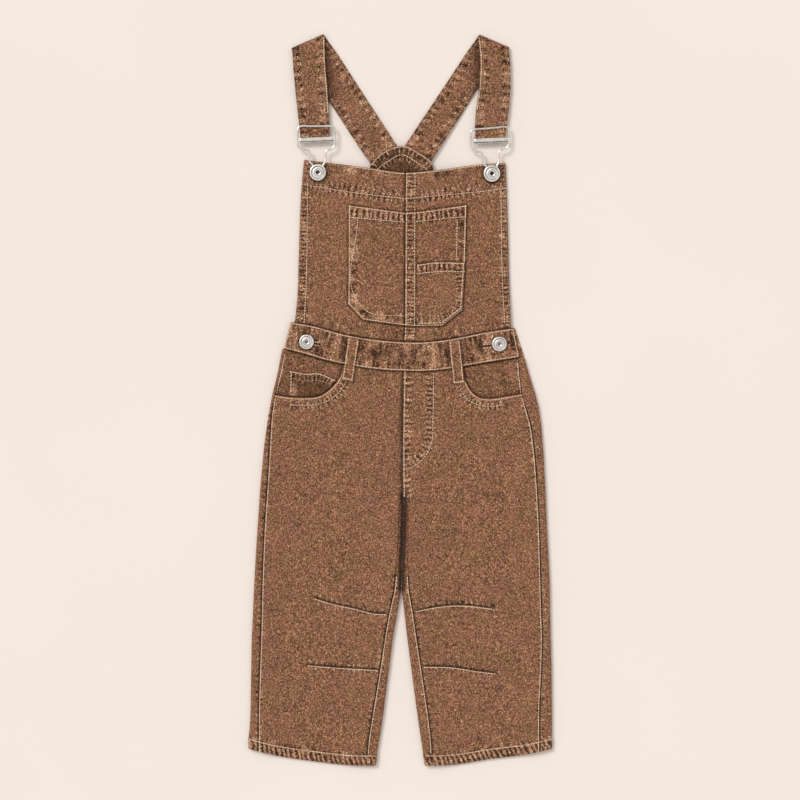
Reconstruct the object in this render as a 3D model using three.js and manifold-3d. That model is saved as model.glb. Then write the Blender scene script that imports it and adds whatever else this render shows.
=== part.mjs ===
// Kids' dungarees in brown denim, laid flat with the front up.
//
// Millimetres. The origin lies on the surface under the middle of the garment.
// +X runs to the right of the front view, +Y from the hems to the shoulders, +Z up from the surface.
// The back panels lie on the surface and wrap a little way round the leg sides to the side seams and
// inseams. The front panels lie on them, and the straps fold over at the shoulders.

import * as THREE from "three";
import { mergeVertices } from "three/addons/utils/BufferGeometryUtils.js";
import Module from "manifold-3d";

const wasm = await Module();
wasm.setup();

// Cloth and seam sizes
const DENIM = 1.3; // one layer of denim
const SEAM = 0.3; // clear gap between neighbouring pieces
const HALF_SEAM = SEAM / 2;
const HEM_LIFT = 0.7; // how far a turned hem stands above a single layer
const LEG_HEIGHT = 5.2; // a leg from the surface to its upper face along the sides
const FOLD_RADIUS = (LEG_HEIGHT - DENIM) / 2; // middle of the cloth where a leg wraps round its side
const WAISTBAND_THICK = 2.4;
const STRAP_THICK = 2.2;
const LOOP_THICK = 1.8;
const LOOP_WIDTH = 11.6;
const LEG_HEM = 11.5; // turned hem at each ankle
const BIB_SIDE_HEM = 9;
const BIB_TOP_HEM = 27;
const FELLED_BAND = 10.6; // width of the felled seam down the middle of the bib
const BIB_POCKET_HEM = 11;

// Heights of what lies under the front
const BACK_TOP = DENIM + SEAM;
const FACING_BASE = BACK_TOP;
const HIP_FRONT_BASE = FACING_BASE + DENIM + SEAM;
const THIGH_FRONT_BASE = BACK_TOP + 0.1;
const EDGE_FRONT_BASE = LEG_HEIGHT - DENIM;
const YOKE_STRAP_BASE = BACK_TOP;
const YOKE_FACING_BASE = YOKE_STRAP_BASE + STRAP_THICK + SEAM;
const BIB_OVER_YOKE_BASE = YOKE_FACING_BASE + DENIM + SEAM;
const STRAP_FRONT_BASE = STRAP_THICK + 0.4;

// Colours, from the denim and the nickel-plated fittings
const BROWN = 0x8a6048;
const BROWN_DEEP = 0x70492f;
const NICKEL = 0xc7c1b8;

/** Rows of numbers as objects with named columns. */
function table(names, rows) {
  return rows.map((row) => Object.fromEntries(names.map((name, i) => [name, row[i]])));
}

/** Straight-line value of one column at a place along another, which rises or falls down the table. */
function lookup(rows, along, column, at) {
  const rising = rows[rows.length - 1][along] > rows[0][along];
  const inOrder = rising ? rows : [...rows].reverse();
  if (at <= inOrder[0][along]) return inOrder[0][column];
  for (let i = 1; i < inOrder.length; i++) {
    const a = inOrder[i - 1];
    const b = inOrder[i];
    if (at <= b[along]) return a[column] + ((b[column] - a[column]) * (at - a[along])) / (b[along] - a[along]);
  }
  return inOrder[inOrder.length - 1][column];
}

/** Smooth step from 0 at `from` to 1 at `to`. */
function ease(from, to, at) {
  const t = Math.min(1, Math.max(0, (at - from) / (to - from)));
  return t * t * (3 - 2 * t);
}

const mix = (a, b, t) => a + (b - a) * t;

/** Even stops from 0 to 1 with extra ones put in and near neighbours dropped. */
function stops(count, extra = []) {
  const even = Array.from({ length: count + 1 }, (_, i) => i / count);
  const near = 0.45 / count;
  const kept = even.filter((s) => s === 0 || s === 1 || extra.every((e) => Math.abs(e - s) > near));
  return [...kept, ...extra].sort((a, b) => a - b);
}

/** Point at a share of the length of a polyline of [x, y]. */
function along(line, share) {
  const lengths = line.slice(1).map((p, i) => Math.hypot(p[0] - line[i][0], p[1] - line[i][1]));
  let left = share * lengths.reduce((sum, l) => sum + l, 0);
  for (let i = 0; i < lengths.length; i++) {
    if (left <= lengths[i] || i === lengths.length - 1) {
      const t = Math.min(1, left / lengths[i]);
      return [mix(line[i][0], line[i + 1][0], t), mix(line[i][1], line[i + 1][1], t)];
    }
    left -= lengths[i];
  }
  return line[0];
}

/** Point at `share` of a polyline whose points lie at the shares in `knots`. */
function atKnots(line, knots, share) {
  const next = Math.max(1, knots.findIndex((k) => k >= share - 1e-9));
  const t = (share - knots[next - 1]) / (knots[next] - knots[next - 1]);
  return [0, 1].map((k) => mix(line[next - 1][k], line[next][k], t));
}

/**
 * Point in a panel bounded by four lines, top and bottom left to right, left and right top to bottom.
 * With `knots`, the points of the left and right lines lie at those shares of the height.
 */
function panelPoint({ top, bottom, left, right, knots }, u, v) {
  const down = (line) => (knots ? atKnots(line, knots, v) : along(line, v));
  const [t, b, l, r] = [along(top, u), along(bottom, u), down(left), down(right)];
  const corners = [along(top, 0), along(top, 1), along(bottom, 0), along(bottom, 1)];
  return [0, 1].map(
    (k) =>
      mix(t[k], b[k], v) +
      mix(l[k], r[k], u) -
      mix(mix(corners[0][k], corners[1][k], u), mix(corners[2][k], corners[3][k], u), v),
  );
}

/** Closed surface between two grids of points with the same rows and columns. */
function closedSheet(upper, lower) {
  const rows = upper.length;
  const cols = upper[0].length;
  const positions = [...upper.flat(), ...lower.flat()].flat();
  const up = (i, j) => i * cols + j;
  const down = (i, j) => rows * cols + i * cols + j;
  const index = [];
  const quad = (a, b, c, d) => index.push(a, b, c, a, c, d);
  for (let i = 0; i + 1 < rows; i++) {
    for (let j = 0; j + 1 < cols; j++) {
      quad(up(i, j), up(i + 1, j), up(i + 1, j + 1), up(i, j + 1));
      quad(down(i, j), down(i, j + 1), down(i + 1, j + 1), down(i + 1, j));
    }
  }
  for (let i = 0; i + 1 < rows; i++) {
    quad(up(i, 0), down(i, 0), down(i + 1, 0), up(i + 1, 0));
    quad(up(i + 1, cols - 1), down(i + 1, cols - 1), down(i, cols - 1), up(i, cols - 1));
  }
  for (let j = 0; j + 1 < cols; j++) {
    quad(up(0, j + 1), down(0, j + 1), down(0, j), up(0, j));
    quad(up(rows - 1, j), down(rows - 1, j), down(rows - 1, j + 1), up(rows - 1, j + 1));
  }
  return facingOut(positions, index);
}

/** Geometry from positions and triangles, turned so that it faces out. */
function facingOut(positions, index) {
  let volume = 0;
  const corner = new THREE.Vector3();
  const next = new THREE.Vector3();
  const last = new THREE.Vector3();
  for (let i = 0; i < index.length; i += 3) {
    corner.fromArray(positions, index[i] * 3);
    next.fromArray(positions, index[i + 1] * 3);
    last.fromArray(positions, index[i + 2] * 3);
    volume += corner.dot(next.cross(last));
  }
  const faces = volume < 0 ? index.map((_, i) => index[i - (i % 3) + 2 - (i % 3)]) : index;
  const geometry = new THREE.BufferGeometry();
  geometry.setAttribute("position", new THREE.Float32BufferAttribute(positions, 3));
  geometry.setIndex(faces);
  return geometry;
}

/** Flat-laid panel: `base` and `thick` are functions of x, y, u, v. */
function panel(edges, us, vs, base, thick) {
  const lower = vs.map((v) =>
    us.map((u) => {
      const [x, y] = panelPoint(edges, u, v);
      return [x, y, base(x, y, u, v)];
    }),
  );
  const upper = lower.map((row, i) => row.map(([x, y, z], j) => [x, y, z + thick(x, y, us[j], vs[i])]));
  return closedSheet(upper, lower);
}

/** The geometry as a closed body for joining. */
function bodyOf(geometry) {
  const plain = geometry.clone();
  plain.deleteAttribute("normal");
  plain.deleteAttribute("uv");
  const merged = mergeVertices(plain, 1e-4);
  return new wasm.Manifold(
    new wasm.Mesh({
      numProp: 3,
      vertProperties: merged.attributes.position.array,
      triVerts: new Uint32Array(merged.index.array),
    }),
  );
}

/** Joins geometries into one. */
function joined(first, ...others) {
  const whole = others.reduce((sum, g) => sum.add(bodyOf(g)), bodyOf(first));
  const mesh = whole.getMesh();
  const positions = [];
  for (let i = 0; i < mesh.numVert; i++) {
    positions.push(...mesh.vertProperties.subarray(i * mesh.numProp, i * mesh.numProp + 3));
  }
  return facingOut(positions, Array.from(mesh.triVerts));
}

// Outline of each leg. Columns: y along the leg, side = outermost x, seam = side seam on the upper face,
// inner = x of the inner edge, inseam = inner seam on the upper face, curl = 1 where the back wraps
// round the inner edge, 0 in the seat where it runs flat to the centre back seam.
const LEG_COLUMNS = ["y", "side", "seam", "inner", "inseam", "curl"];
const LEFT_LEG = table(LEG_COLUMNS, [
  [53.1, -124.2, -121.4, 3.0, 3.0, 0],
  [30, -128.5, -125.8, 3.0, 3.0, 0],
  [4.9, -134.6, -131.9, 2.9, 2.9, 0],
  [-19, -139.0, -135.8, 2.6, 2.6, 0],
  [-47.5, -143.0, -137.4, 2.4, 2.4, 0],
  [-83.9, -146.5, -139.5, 2.4, 2.4, 0],
  [-98, -147.6, -140.4, 2.4, 2.4, 0],
  [-112, -148.5, -141.4, 3.2, -0.9, 1],
  [-138.9, -150.4, -143.2, 2.6, -1.7, 1],
  [-168, -152.2, -144.5, 1.4, -3.6, 1],
  [-200, -153.9, -145.6, 0.7, -6.4, 1],
  [-225.4, -155.0, -146.0, -3.4, -12.2, 1],
  [-251, -156.2, -146.7, -7.8, -16.6, 1],
  [-283, -156.8, -147.9, -11.9, -21.4, 1],
  [-327.3, -157.5, -149.2, -17.5, -28.8, 1],
  [-355, -158.6, -149.2, -21.6, -33.2, 1],
  [-366.7, -159.4, -149.2, -23.6, -34.4, 1],
  [-384.5, -159.4, -149.2, -25.8, -36.0, 1],
]);
const RIGHT_LEG = table(LEG_COLUMNS, [
  [43.6, 130.4, 124.2, 3.3, 3.3, 0],
  [25, 135.8, 125.6, 3.2, 3.2, 0],
  [6, 141.7, 128.1, 3.1, 3.1, 0],
  [-7.7, 145.2, 131.6, 3.0, 3.0, 0],
  [-24.7, 147.8, 137.2, 2.9, 2.9, 0],
  [-58.9, 150.6, 141.7, 2.8, 2.8, 0],
  [-98, 152.6, 144.5, 2.8, 2.8, 0],
  [-112, 153.2, 145.2, 3.8, 7.9, 1],
  [-138.9, 154.3, 146.5, 3.2, 8.2, 1],
  [-168, 155.9, 147.3, 2.0, 7.8, 1],
  [-200, 157.1, 148.1, 1.5, 9.4, 1],
  [-225.4, 157.4, 148.8, 4.4, 13.9, 1],
  [-251, 158.0, 149.8, 7.4, 17.6, 1],
  [-283, 158.9, 148.8, 11.5, 22.5, 1],
  [-327.3, 159.4, 146.6, 17.4, 29.2, 1],
  [-355, 159.4, 146.6, 21.4, 32.6, 1],
  [-366.7, 159.4, 146.6, 23.1, 33.4, 1],
  [-384.5, 159.4, 146.6, 25.7, 33.4, 1],
]);

// Lines of the cut, left to right or top to bottom, as [x, y].
const WAIST_TOP = [
  [-115.1, 81.4], [-94.1, 77.8], [-57.6, 68.1], [-22.4, 62.5], [1.6, 60.5],
  [20.7, 60.2], [46.1, 62.5], [91.7, 71.0], [119.0, 75.0],
];
const WAIST_BOTTOM = [
  [-122.5, 53.4], [-101.2, 48.0], [-78.4, 41.3], [-59.9, 37.2], [-43.9, 34.3], [-15.5, 30.8], [3.1, 29.9],
  [23.3, 29.6], [46.1, 31.4], [66.6, 34.8], [91.7, 39.1], [124.6, 44.2],
];
const HEM = [
  [-159.4, -366.7], [-130.1, -374.3], [-92.0, -380.1], [-53.9, -384.2], [-25.8, -384.5],
  [25.7, -384.5], [55.0, -383.9], [93.2, -378.1], [131.4, -373.1], [159.4, -366.7],
];
const LEFT_SCOOP = [
  [-131.6, 4.9], [-116.5, 2.6], [-100.9, 2.0], [-84.9, 3.8], [-77, 8.2],
  [-70.7, 13.7], [-65.8, 20], [-62.3, 26.4], [-59.6, 37.0],
];
const RIGHT_SCOOP = [
  [65.6, 34.5], [66.4, 27.5], [68.2, 20.4], [73.5, 10.6], [78, 5.4],
  [83.7, 2.1], [91.7, 0.9], [108.9, 2.8], [127.8, 6.0],
];
const YOKE_TOP = [
  [-31.4, 246.6], [-25, 254.2], [-17.9, 259.9], [-5.8, 265.2], [1.5, 266.5],
  [9.9, 264.7], [20.7, 258.6], [28, 253.8], [33.2, 249.6],
];

const heightOf = (line, x) =>
  lookup(line.map(([a, b]) => ({ x: a, y: b })), "x", "y", x);
const shifted = (line, dx, dy) => line.map(([x, y]) => [x + dx, y + dy]);
const between = (line, from, to) => [
  [from, heightOf(line, from)],
  ...line.filter(([x]) => x > from + 0.5 && x < to - 0.5),
  [to, heightOf(line, to)],
];

const LEG_FADE_TOP = -60; // rows of the back follow the curved waist seam above this
const LEG_FADE_HEM = -330; // and the curved hem below this

/** How far a back row is bent to follow the waist seam and the hem. */
function backBend(leg, y, x) {
  const top = leg[0].y;
  const bottom = leg[leg.length - 1].y;
  const waist = (heightOf(WAIST_BOTTOM, x) - SEAM - top) * ease(LEG_FADE_TOP, top, y);
  const hem = (heightOf(HEM, x) - bottom) * ease(LEG_FADE_HEM, bottom, y);
  return waist + hem;
}

const FOLD_STEPS = 4;
const FLAT_STEPS = 7;

/** Points along the middle of one back section, from side seam round the side to the inseam. */
function backSection(row, outward) {
  const r = FOLD_RADIUS;
  const middle = DENIM / 2;
  const foldX = row.side - outward * (middle + r);
  const points = [];
  const seamX = outward > 0 ? Math.min(row.seam + HALF_SEAM, foldX - 0.05) : Math.max(row.seam - HALF_SEAM, foldX + 0.05);
  points.push({ x: seamX, z: middle + 2 * r, nx: 0, nz: 1 });
  for (let i = 0; i <= FOLD_STEPS; i++) {
    const a = (Math.PI * i) / FOLD_STEPS;
    points.push({
      x: foldX + outward * r * Math.sin(a),
      z: middle + r + r * Math.cos(a),
      nx: outward * Math.sin(a),
      nz: Math.cos(a),
    });
  }
  const innerFold = row.inner + outward * (middle + r);
  const flatRun = Math.PI * r;
  const flatEnd = row.inner + outward * HALF_SEAM;
  const inner = [];
  for (let i = 0; i <= FOLD_STEPS; i++) {
    const a = Math.PI - (Math.PI * i) / FOLD_STEPS;
    inner.push(
      row.curl
        ? {
            x: innerFold - outward * r * Math.sin(a),
            z: middle + r + r * Math.cos(a),
            nx: -outward * Math.sin(a),
            nz: Math.cos(a),
          }
        : { x: flatEnd + outward * (2 + flatRun * (1 - i / FOLD_STEPS)), z: middle, nx: 0, nz: -1 },
    );
  }
  const inseamX =
    outward > 0 ? Math.max(row.inseam - HALF_SEAM, innerFold + 0.05) : Math.min(row.inseam + HALF_SEAM, innerFold - 0.05);
  inner.push(row.curl ? { x: inseamX, z: middle + 2 * r, nx: 0, nz: 1 } : { x: flatEnd, z: middle, nx: 0, nz: -1 });
  const start = points[points.length - 1].x;
  for (let i = 1; i < FLAT_STEPS; i++) {
    points.push({ x: mix(start, inner[0].x, i / FLAT_STEPS), z: middle, nx: 0, nz: -1 });
  }
  return [...points, ...inner];
}

/** Back of one leg: one cloth from the side seam under the leg to the inseam. */
function legBack(leg, outward) {
  const offset = (side) =>
    leg.map((row) =>
      backSection(row, outward).map((p) => {
        const x = p.x + (side * p.nx * DENIM) / 2;
        return [x, row.y + backBend(leg, row.y, p.x), p.z + (side * p.nz * DENIM) / 2];
      }),
    );
  return closedSheet(offset(1), offset(-1));
}

const CROTCH = -104;
const EDGE_RISE = 30; // the front settles from the rounded sides over this width

/** Underside of a leg front at a point, given its distances from the side seam and the inseam. */
function frontBase(y, fromSide, fromInner) {
  const middle = mix(THIGH_FRONT_BASE, HIP_FRONT_BASE, ease(-60, -14, y));
  const side = 1 - ease(2, EDGE_RISE, fromSide);
  const inner = (1 - ease(2, EDGE_RISE, fromInner)) * ease(CROTCH + 26, CROTCH + 8, y);
  return mix(middle, EDGE_FRONT_BASE, Math.max(side, inner));
}

// Rows of a leg front. Columns: y at the side seam, y at the inner edge.
const FRONT_ROWS = [
  ...[[-4.6, 20.1], [-6, 18.7], [-20, 0], [-38, -28], [-60, -60]].map(([side, inner]) => ({ side, inner })),
  ...[
    -72, -83.9, -98, -105, -112, -125, -138.9, -153, -168, -184, -200, -212, -225.4, -238, -251,
    -267, -283, -297, -312, -327.3, -341, -355,
  ].map((y) => ({ side: y, inner: y })),
];

// Knee tucks, two to a leg, from the inseam outward, as [x, y].
const TUCK_HEIGHT = 0.8;
const TUCK_HALF_WIDTH = 1.1;
const KNEE_TUCKS = {
  left: [
    [[-14.5, -224.6], [-25.8, -224.2], [-47.5, -219.1], [-70, -214.2], [-89.5, -208.3]],
    [[-23.5, -283.4], [-40, -282.4], [-60.2, -281.4], [-92.0, -278.9], [-97.0, -278.4]],
  ],
  right: [
    [[15.6, -221.4], [39.8, -217.2], [55, -215.7], [70.2, -215.9], [97.0, -219.1]],
    [[24.2, -279.6], [55.0, -280.8], [80.4, -284.7], [100.8, -287.2]],
  ],
};

/** Pinched tuck: a low ridge along a line on a surface of the given height. */
function tuck(line, surface) {
  const steps = 8;
  const rows = Array.from({ length: steps + 1 }, (_, i) => {
    const [x, y] = along(line, i / steps);
    const end = 1 - 0.75 * ease(0.55, 1, i / steps);
    return { x, y, top: surface(x, y), end };
  });
  const upper = rows.map(({ x, y, top, end }) => [
    [x, y + TUCK_HALF_WIDTH, top - 0.1],
    [x, y, top + TUCK_HEIGHT * end],
    [x, y - TUCK_HALF_WIDTH, top - 0.1],
  ]);
  const lower = upper.map((row, i) => row.map(([x, y]) => [x, y, rows[i].top - 0.7]));
  return closedSheet(upper, lower);
}

/** Front of one leg, with its turned pocket edge, turned hem and knee tucks. */
function legFront(leg, outward, scoop, tucks) {
  const isLeft = outward < 0;
  const toCloth = isLeft ? HALF_SEAM : -HALF_SEAM;
  const sideStart = isLeft ? scoop[0] : scoop[scoop.length - 1];
  const centreTop = [isLeft ? 3.0 : 3.4, 29.9 - SEAM];
  const line = (column, key, start, inset) => {
    const at = (y) => lookup(leg, "y", column, y) + inset;
    const hemX = at(-384);
    const hemY = heightOf(HEM, hemX);
    const hem = [hemY + LEG_HEM + 1.4, hemY + LEG_HEM, hemY];
    return [start, ...[...FRONT_ROWS.map((row) => row[key]), ...hem].map((y) => [at(y), y])];
  };
  const side = line("seam", "side", [sideStart[0] + toCloth, sideStart[1]], toCloth);
  const inner = line("inseam", "inner", centreTop, -toCloth);
  const knots = side.map(([, y], i) => {
    const from = side[0][1] + inner[0][1];
    const to = side[side.length - 1][1] + inner[inner.length - 1][1];
    return (from - y - inner[i][1]) / (from - to);
  });
  const low = shifted(WAIST_BOTTOM, 0, -SEAM);
  const waist = isLeft
    ? between(low, scoop[scoop.length - 1][0], centreTop[0])
    : between(low, centreTop[0], scoop[0][0]);
  const bottomEnds = [side, inner].map((edge) => edge[edge.length - 1][0]).sort((a, b) => a - b);
  const edges = {
    top: isLeft ? [side[0], ...scoop.slice(1, -1), ...waist] : [...waist, ...scoop.slice(1, -1), side[0]],
    left: isLeft ? side : inner,
    right: isLeft ? inner : side,
    bottom: between(HEM, ...bottomEnds),
    knots,
  };
  const hemRow = knots.length - 2;
  const fromEdge = (x, y) => {
    const seamX = lookup(leg, "y", "seam", y);
    const inseamX = lookup(leg, "y", "inseam", y);
    return [Math.abs(x - seamX), Math.abs(x - inseamX)];
  };
  const base = (x, y) => frontBase(y, ...fromEdge(x, y));
  const scoopEnd = isLeft ? scoop[scoop.length - 1][0] : scoop[0][0];
  const thick = (x, y, u, v) => {
    const onHem = v >= knots[hemRow] - 1e-6;
    const onPocketEdge = (isLeft ? x < scoopEnd + 4 : x > scoopEnd - 4) && v <= knots[1] + 1e-6;
    return DENIM + (onHem || onPocketEdge ? HEM_LIFT : 0);
  };
  const cloth = panel(edges, stops(15, isLeft ? [0.06] : [0.94]), knots, base, thick);
  return joined(cloth, ...tucks.map((line) => tuck(line, (x, y) => base(x, y) + DENIM)));
}

/** Hip facing behind a pocket opening; it meets the side seam and the waistband. */
function hipFacing(leg, outward, bottomY, innerX) {
  const isLeft = outward < 0;
  const inset = isLeft ? HALF_SEAM : -HALF_SEAM;
  const seamAt = (y) => [lookup(leg, "y", "seam", y) + inset, y];
  const topY = heightOf(WAIST_BOTTOM, seamAt(46)[0]) - 2 * SEAM;
  const side = [seamAt(topY), seamAt(30), seamAt(12), seamAt(4.9), seamAt(bottomY)];
  const deep = [[innerX, heightOf(WAIST_BOTTOM, innerX) - 2 * SEAM], [innerX, bottomY]];
  const ends = isLeft ? [side[0][0], innerX] : [innerX, side[0][0]];
  const edges = {
    top: between(shifted(WAIST_BOTTOM, 0, -2 * SEAM), ...ends),
    bottom: isLeft ? [side[4], deep[1]] : [deep[1], side[4]],
    left: isLeft ? side : deep,
    right: isLeft ? deep : side,
  };
  const base = (x, y) => {
    const fromSide = Math.abs(x - lookup(leg, "y", "seam", y));
    const nearSide = 1 - ease(1, 9, fromSide);
    return mix(FACING_BASE, EDGE_FRONT_BASE, nearSide * ease(8, 18, y));
  };
  const thick = () => DENIM;
  return panel(edges, stops(10, isLeft ? [0.05, 0.15] : [0.85, 0.95]), stops(7), base, thick);
}

// The bib, from the table of its side edges and the line of its top
const BIB_TOP = [
  [-101.2, 252.0], [-75.9, 248.9], [-31.8, 242.9], [5.7, 238.1], [16.4, 238.6], [38.2, 240.7],
  [86.7, 247.4], [110.6, 248.6],
];
const BIB_LEFT = [[-101.2, 252.0], [-104.3, 215.8], [-106.6, 154.1], [-108.2, 107.9], [-110.6, 80.9]];
const BIB_RIGHT = [[110.6, 248.6], [112.9, 185.0], [114.5, 123.4], [116.4, 74.9]];
const BIB_SEAM = [[5.7, 238.1], [5.2, 195.8], [4.7, 77.2], [3.9, 60.7]];
const BIB_POCKET_BOTTOM = 76.5;
const BIB_POCKET_TOP = 205;

/** Underside of the bib: it rides over the back yoke in the middle and lies lower to the sides. */
function bibBase(x, y) {
  const overYoke = ease(78, 44, Math.abs(x - 0.9)) * ease(150, 200, y);
  const low = mix(BACK_TOP, HIP_FRONT_BASE, ease(125, 86, y));
  return mix(low, BIB_OVER_YOKE_BASE, overYoke);
}

/** Upper face of the bib away from its hems. */
const bibFace = (x, y) => bibBase(x, y) + DENIM;

/** One half of the bib, with its turned top and side. */
function bibHalf(isLeft) {
  const seam = shifted(BIB_SEAM, isLeft ? -HALF_SEAM : HALF_SEAM, 0);
  const seamX = seam[0][0];
  const low = shifted(WAIST_TOP, 0, SEAM);
  const edges = isLeft
    ? {
        top: between(BIB_TOP, BIB_LEFT[0][0], seamX),
        bottom: between(low, BIB_LEFT[BIB_LEFT.length - 1][0], seam[seam.length - 1][0]),
        left: [...BIB_LEFT.slice(0, -1), [BIB_LEFT[4][0], heightOf(low, BIB_LEFT[4][0])]],
        right: [...seam.slice(0, -1), [seam[3][0], heightOf(low, seam[3][0])]],
      }
    : {
        top: between(BIB_TOP, seamX, BIB_RIGHT[0][0]),
        bottom: between(low, seam[seam.length - 1][0], BIB_RIGHT[3][0]),
        left: [...seam.slice(0, -1), [seam[3][0], heightOf(low, seam[3][0])]],
        right: [...BIB_RIGHT.slice(0, -1), [BIB_RIGHT[3][0], heightOf(low, BIB_RIGHT[3][0])]],
      };
  const width = 106;
  const height = 172;
  const band = FELLED_BAND / width;
  const hem = BIB_SIDE_HEM / width;
  const us = isLeft ? stops(9, [hem, hem + 0.01]) : stops(9, [band, band + 0.01, 1 - hem - 0.01, 1 - hem]);
  const vs = stops(15, [
    BIB_TOP_HEM / height, (BIB_TOP_HEM + 1.2) / height, 0.215, 0.227, 0.965, 0.977,
  ]);
  const thick = (x, y, u, v) => {
    const onTop = v <= BIB_TOP_HEM / height + 1e-6;
    const onSide = isLeft ? u <= hem + 1e-6 : u >= 1 - hem - 1e-6;
    const clearOfPocket = v < 0.22 || v > 0.97;
    const onBand = !isLeft && u <= band + 1e-6 && clearOfPocket;
    return DENIM + (onTop || onSide || onBand ? HEM_LIFT : 0);
  };
  return panel(edges, us, vs, bibBase, thick);
}

/** One half of the bib pocket, on the bib; its lower corner is cut off. */
function bibPocketHalf(isLeft) {
  const edges = isLeft
    ? {
        top: [[-54.2, 203.8], [5.05, 195.9]],
        bottom: [[-54.9, 100.3], [-38.9, 83.3], [4.55, 77.4]],
        left: [[-54.2, 203.8], [-54.9, 100.3]],
        right: [[5.05, 195.9], [4.55, 77.4]],
      }
    : {
        top: [[5.35, 195.9], [16.2, 196.6], [69.8, 204.2]],
        bottom: [[4.85, 77.4], [16.5, 76.6], [44.4, 77.2], [65.4, 94.2]],
        left: [[5.35, 195.9], [4.85, 77.4]],
        right: [[69.8, 204.2], [68.2, 138.8], [65.4, 94.2]],
      };
  const width = 62;
  const band = FELLED_BAND / width;
  const hem = BIB_POCKET_HEM / 122;
  const us = isLeft ? stops(6) : stops(6, [band, band + 0.012]);
  const vs = stops(9, [hem, hem + 0.012]);
  const thick = (x, y, u, v) => {
    const onHem = v <= hem + 1e-6;
    const onBand = !isLeft && u <= band + 1e-6;
    return DENIM + (onHem || onBand ? HEM_LIFT : 0);
  };
  return panel(edges, us, vs, (x, y) => bibFace(x, y) + SEAM, thick);
}

/** Small inner pocket on the right half of the bib pocket. */
function smallBibPocket() {
  const edges = {
    top: [[17.5, 141.9], [38.2, 144.2], [67.6, 143.6]],
    bottom: [[17.5, 78.6], [44.0, 79.0], [64.4, 95.2]],
    left: [[17.5, 141.9], [17.5, 78.6]],
    right: [[67.6, 143.6], [67.3, 138.0], [64.4, 95.2]],
  };
  const hem = 9.5 / 62;
  const thick = (x, y, u, v) => DENIM - 0.2 + (v <= hem + 1e-6 ? HEM_LIFT : 0);
  const base = (x, y) => bibFace(x, y) + SEAM + DENIM + SEAM;
  return panel(edges, stops(5), stops(6, [hem, hem + 0.02]), base, thick);
}

/** Front waistband: a doubled band between the bib and the leg fronts. */
function waistbandFront() {
  const edges = {
    top: WAIST_TOP,
    bottom: WAIST_BOTTOM,
    left: [WAIST_TOP[0], WAIST_BOTTOM[0]],
    right: [WAIST_TOP[WAIST_TOP.length - 1], WAIST_BOTTOM[WAIST_BOTTOM.length - 1]],
  };
  const edge = 0.08;
  const thick = (x, y, u, v) => WAISTBAND_THICK - (v < edge / 2 || v > 1 - edge / 2 ? 0.6 : 0);
  return panel(edges, stops(24), [0, edge, 0.5, 1 - edge, 1], () => HIP_FRONT_BASE, thick);
}

/** Back waistband, on the surface under the front one. */
function waistbandBack() {
  const rightTop = [120.4, 75.4];
  const rightBottom = [130.4, 44.4];
  const edges = {
    top: [...WAIST_TOP.slice(0, -1), rightTop],
    bottom: [...WAIST_BOTTOM.slice(0, -1), [124.6, 44.2], rightBottom],
    left: [WAIST_TOP[0], WAIST_BOTTOM[0]],
    right: [rightTop, rightBottom],
  };
  return panel(edges, stops(14), [0, 0.5, 1], () => 0, () => WAISTBAND_THICK);
}

/** Back bib: it narrows from the back waistband to the yoke point between the straps. */
function backBib() {
  const low = shifted(WAIST_TOP, 0, 2 * SEAM);
  const edges = {
    top: shifted(YOKE_TOP, 0, -0.4),
    bottom: between(low, -112, 115),
    left: [[-31.4, 246.2], [-36, 222], [-58, 170], [-88, 118], [-112, heightOf(low, -112)]],
    right: [[33.2, 249.2], [38, 222], [60, 170], [90, 118], [115, heightOf(low, 115)]],
  };
  return panel(edges, stops(10), stops(9), () => 0, () => DENIM);
}

/** Yoke facing inside the back bib, over the strap ends. */
function yokeFacing() {
  const edges = {
    top: YOKE_TOP,
    bottom: [[-36, 212], [38, 212]],
    left: [[-31.4, 246.6], [-36, 212]],
    right: [[33.2, 249.6], [38, 212]],
  };
  return panel(edges, stops(10), stops(3, [0.12]), () => YOKE_FACING_BASE, () => DENIM);
}

// Straps. Columns: where the row is, x and y of the edge away from the neck and of the edge by the
// neck, and the underside height. The back run comes up from the yoke, the front run goes down to
// the buckle.
const STRAP_COLUMNS = ["outerX", "outerY", "innerX", "innerY", "base"];
const LEFT_STRAP = {
  back: table(STRAP_COLUMNS, [
    [-27.9, 242.9, -0.8, 262.1, YOKE_STRAP_BASE],
    [-33.4, 250.9, -6.2, 270.6, YOKE_STRAP_BASE],
    [-39.6, 259.6, -12.4, 280.2, YOKE_STRAP_BASE],
    [-52.6, 279.4, -24.8, 299.4, 0.7],
    [-64.6, 298.2, -37.2, 318.6, 0],
    [-75.4, 314.2, -51.4, 340.6, 0],
    [-98, 344.6, -67.2, 365.0, 0],
    [-113.4, 366.6, -79.2, 381.4, 0],
  ]),
  front: table(STRAP_COLUMNS, [
    [-113.4, 366.6, -79.4, 381.4, STRAP_FRONT_BASE],
    [-112.6, 350, -78.9, 356.4, STRAP_FRONT_BASE],
    [-110.4, 326, -76.6, 328, STRAP_FRONT_BASE],
    [-107.6, 300, -74.9, 301, STRAP_FRONT_BASE],
    [-106.0, 287.2, -74.4, 288, STRAP_FRONT_BASE],
    [-104.6, 271.4, -74.4, 271.4, STRAP_FRONT_BASE],
  ]),
};
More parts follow.
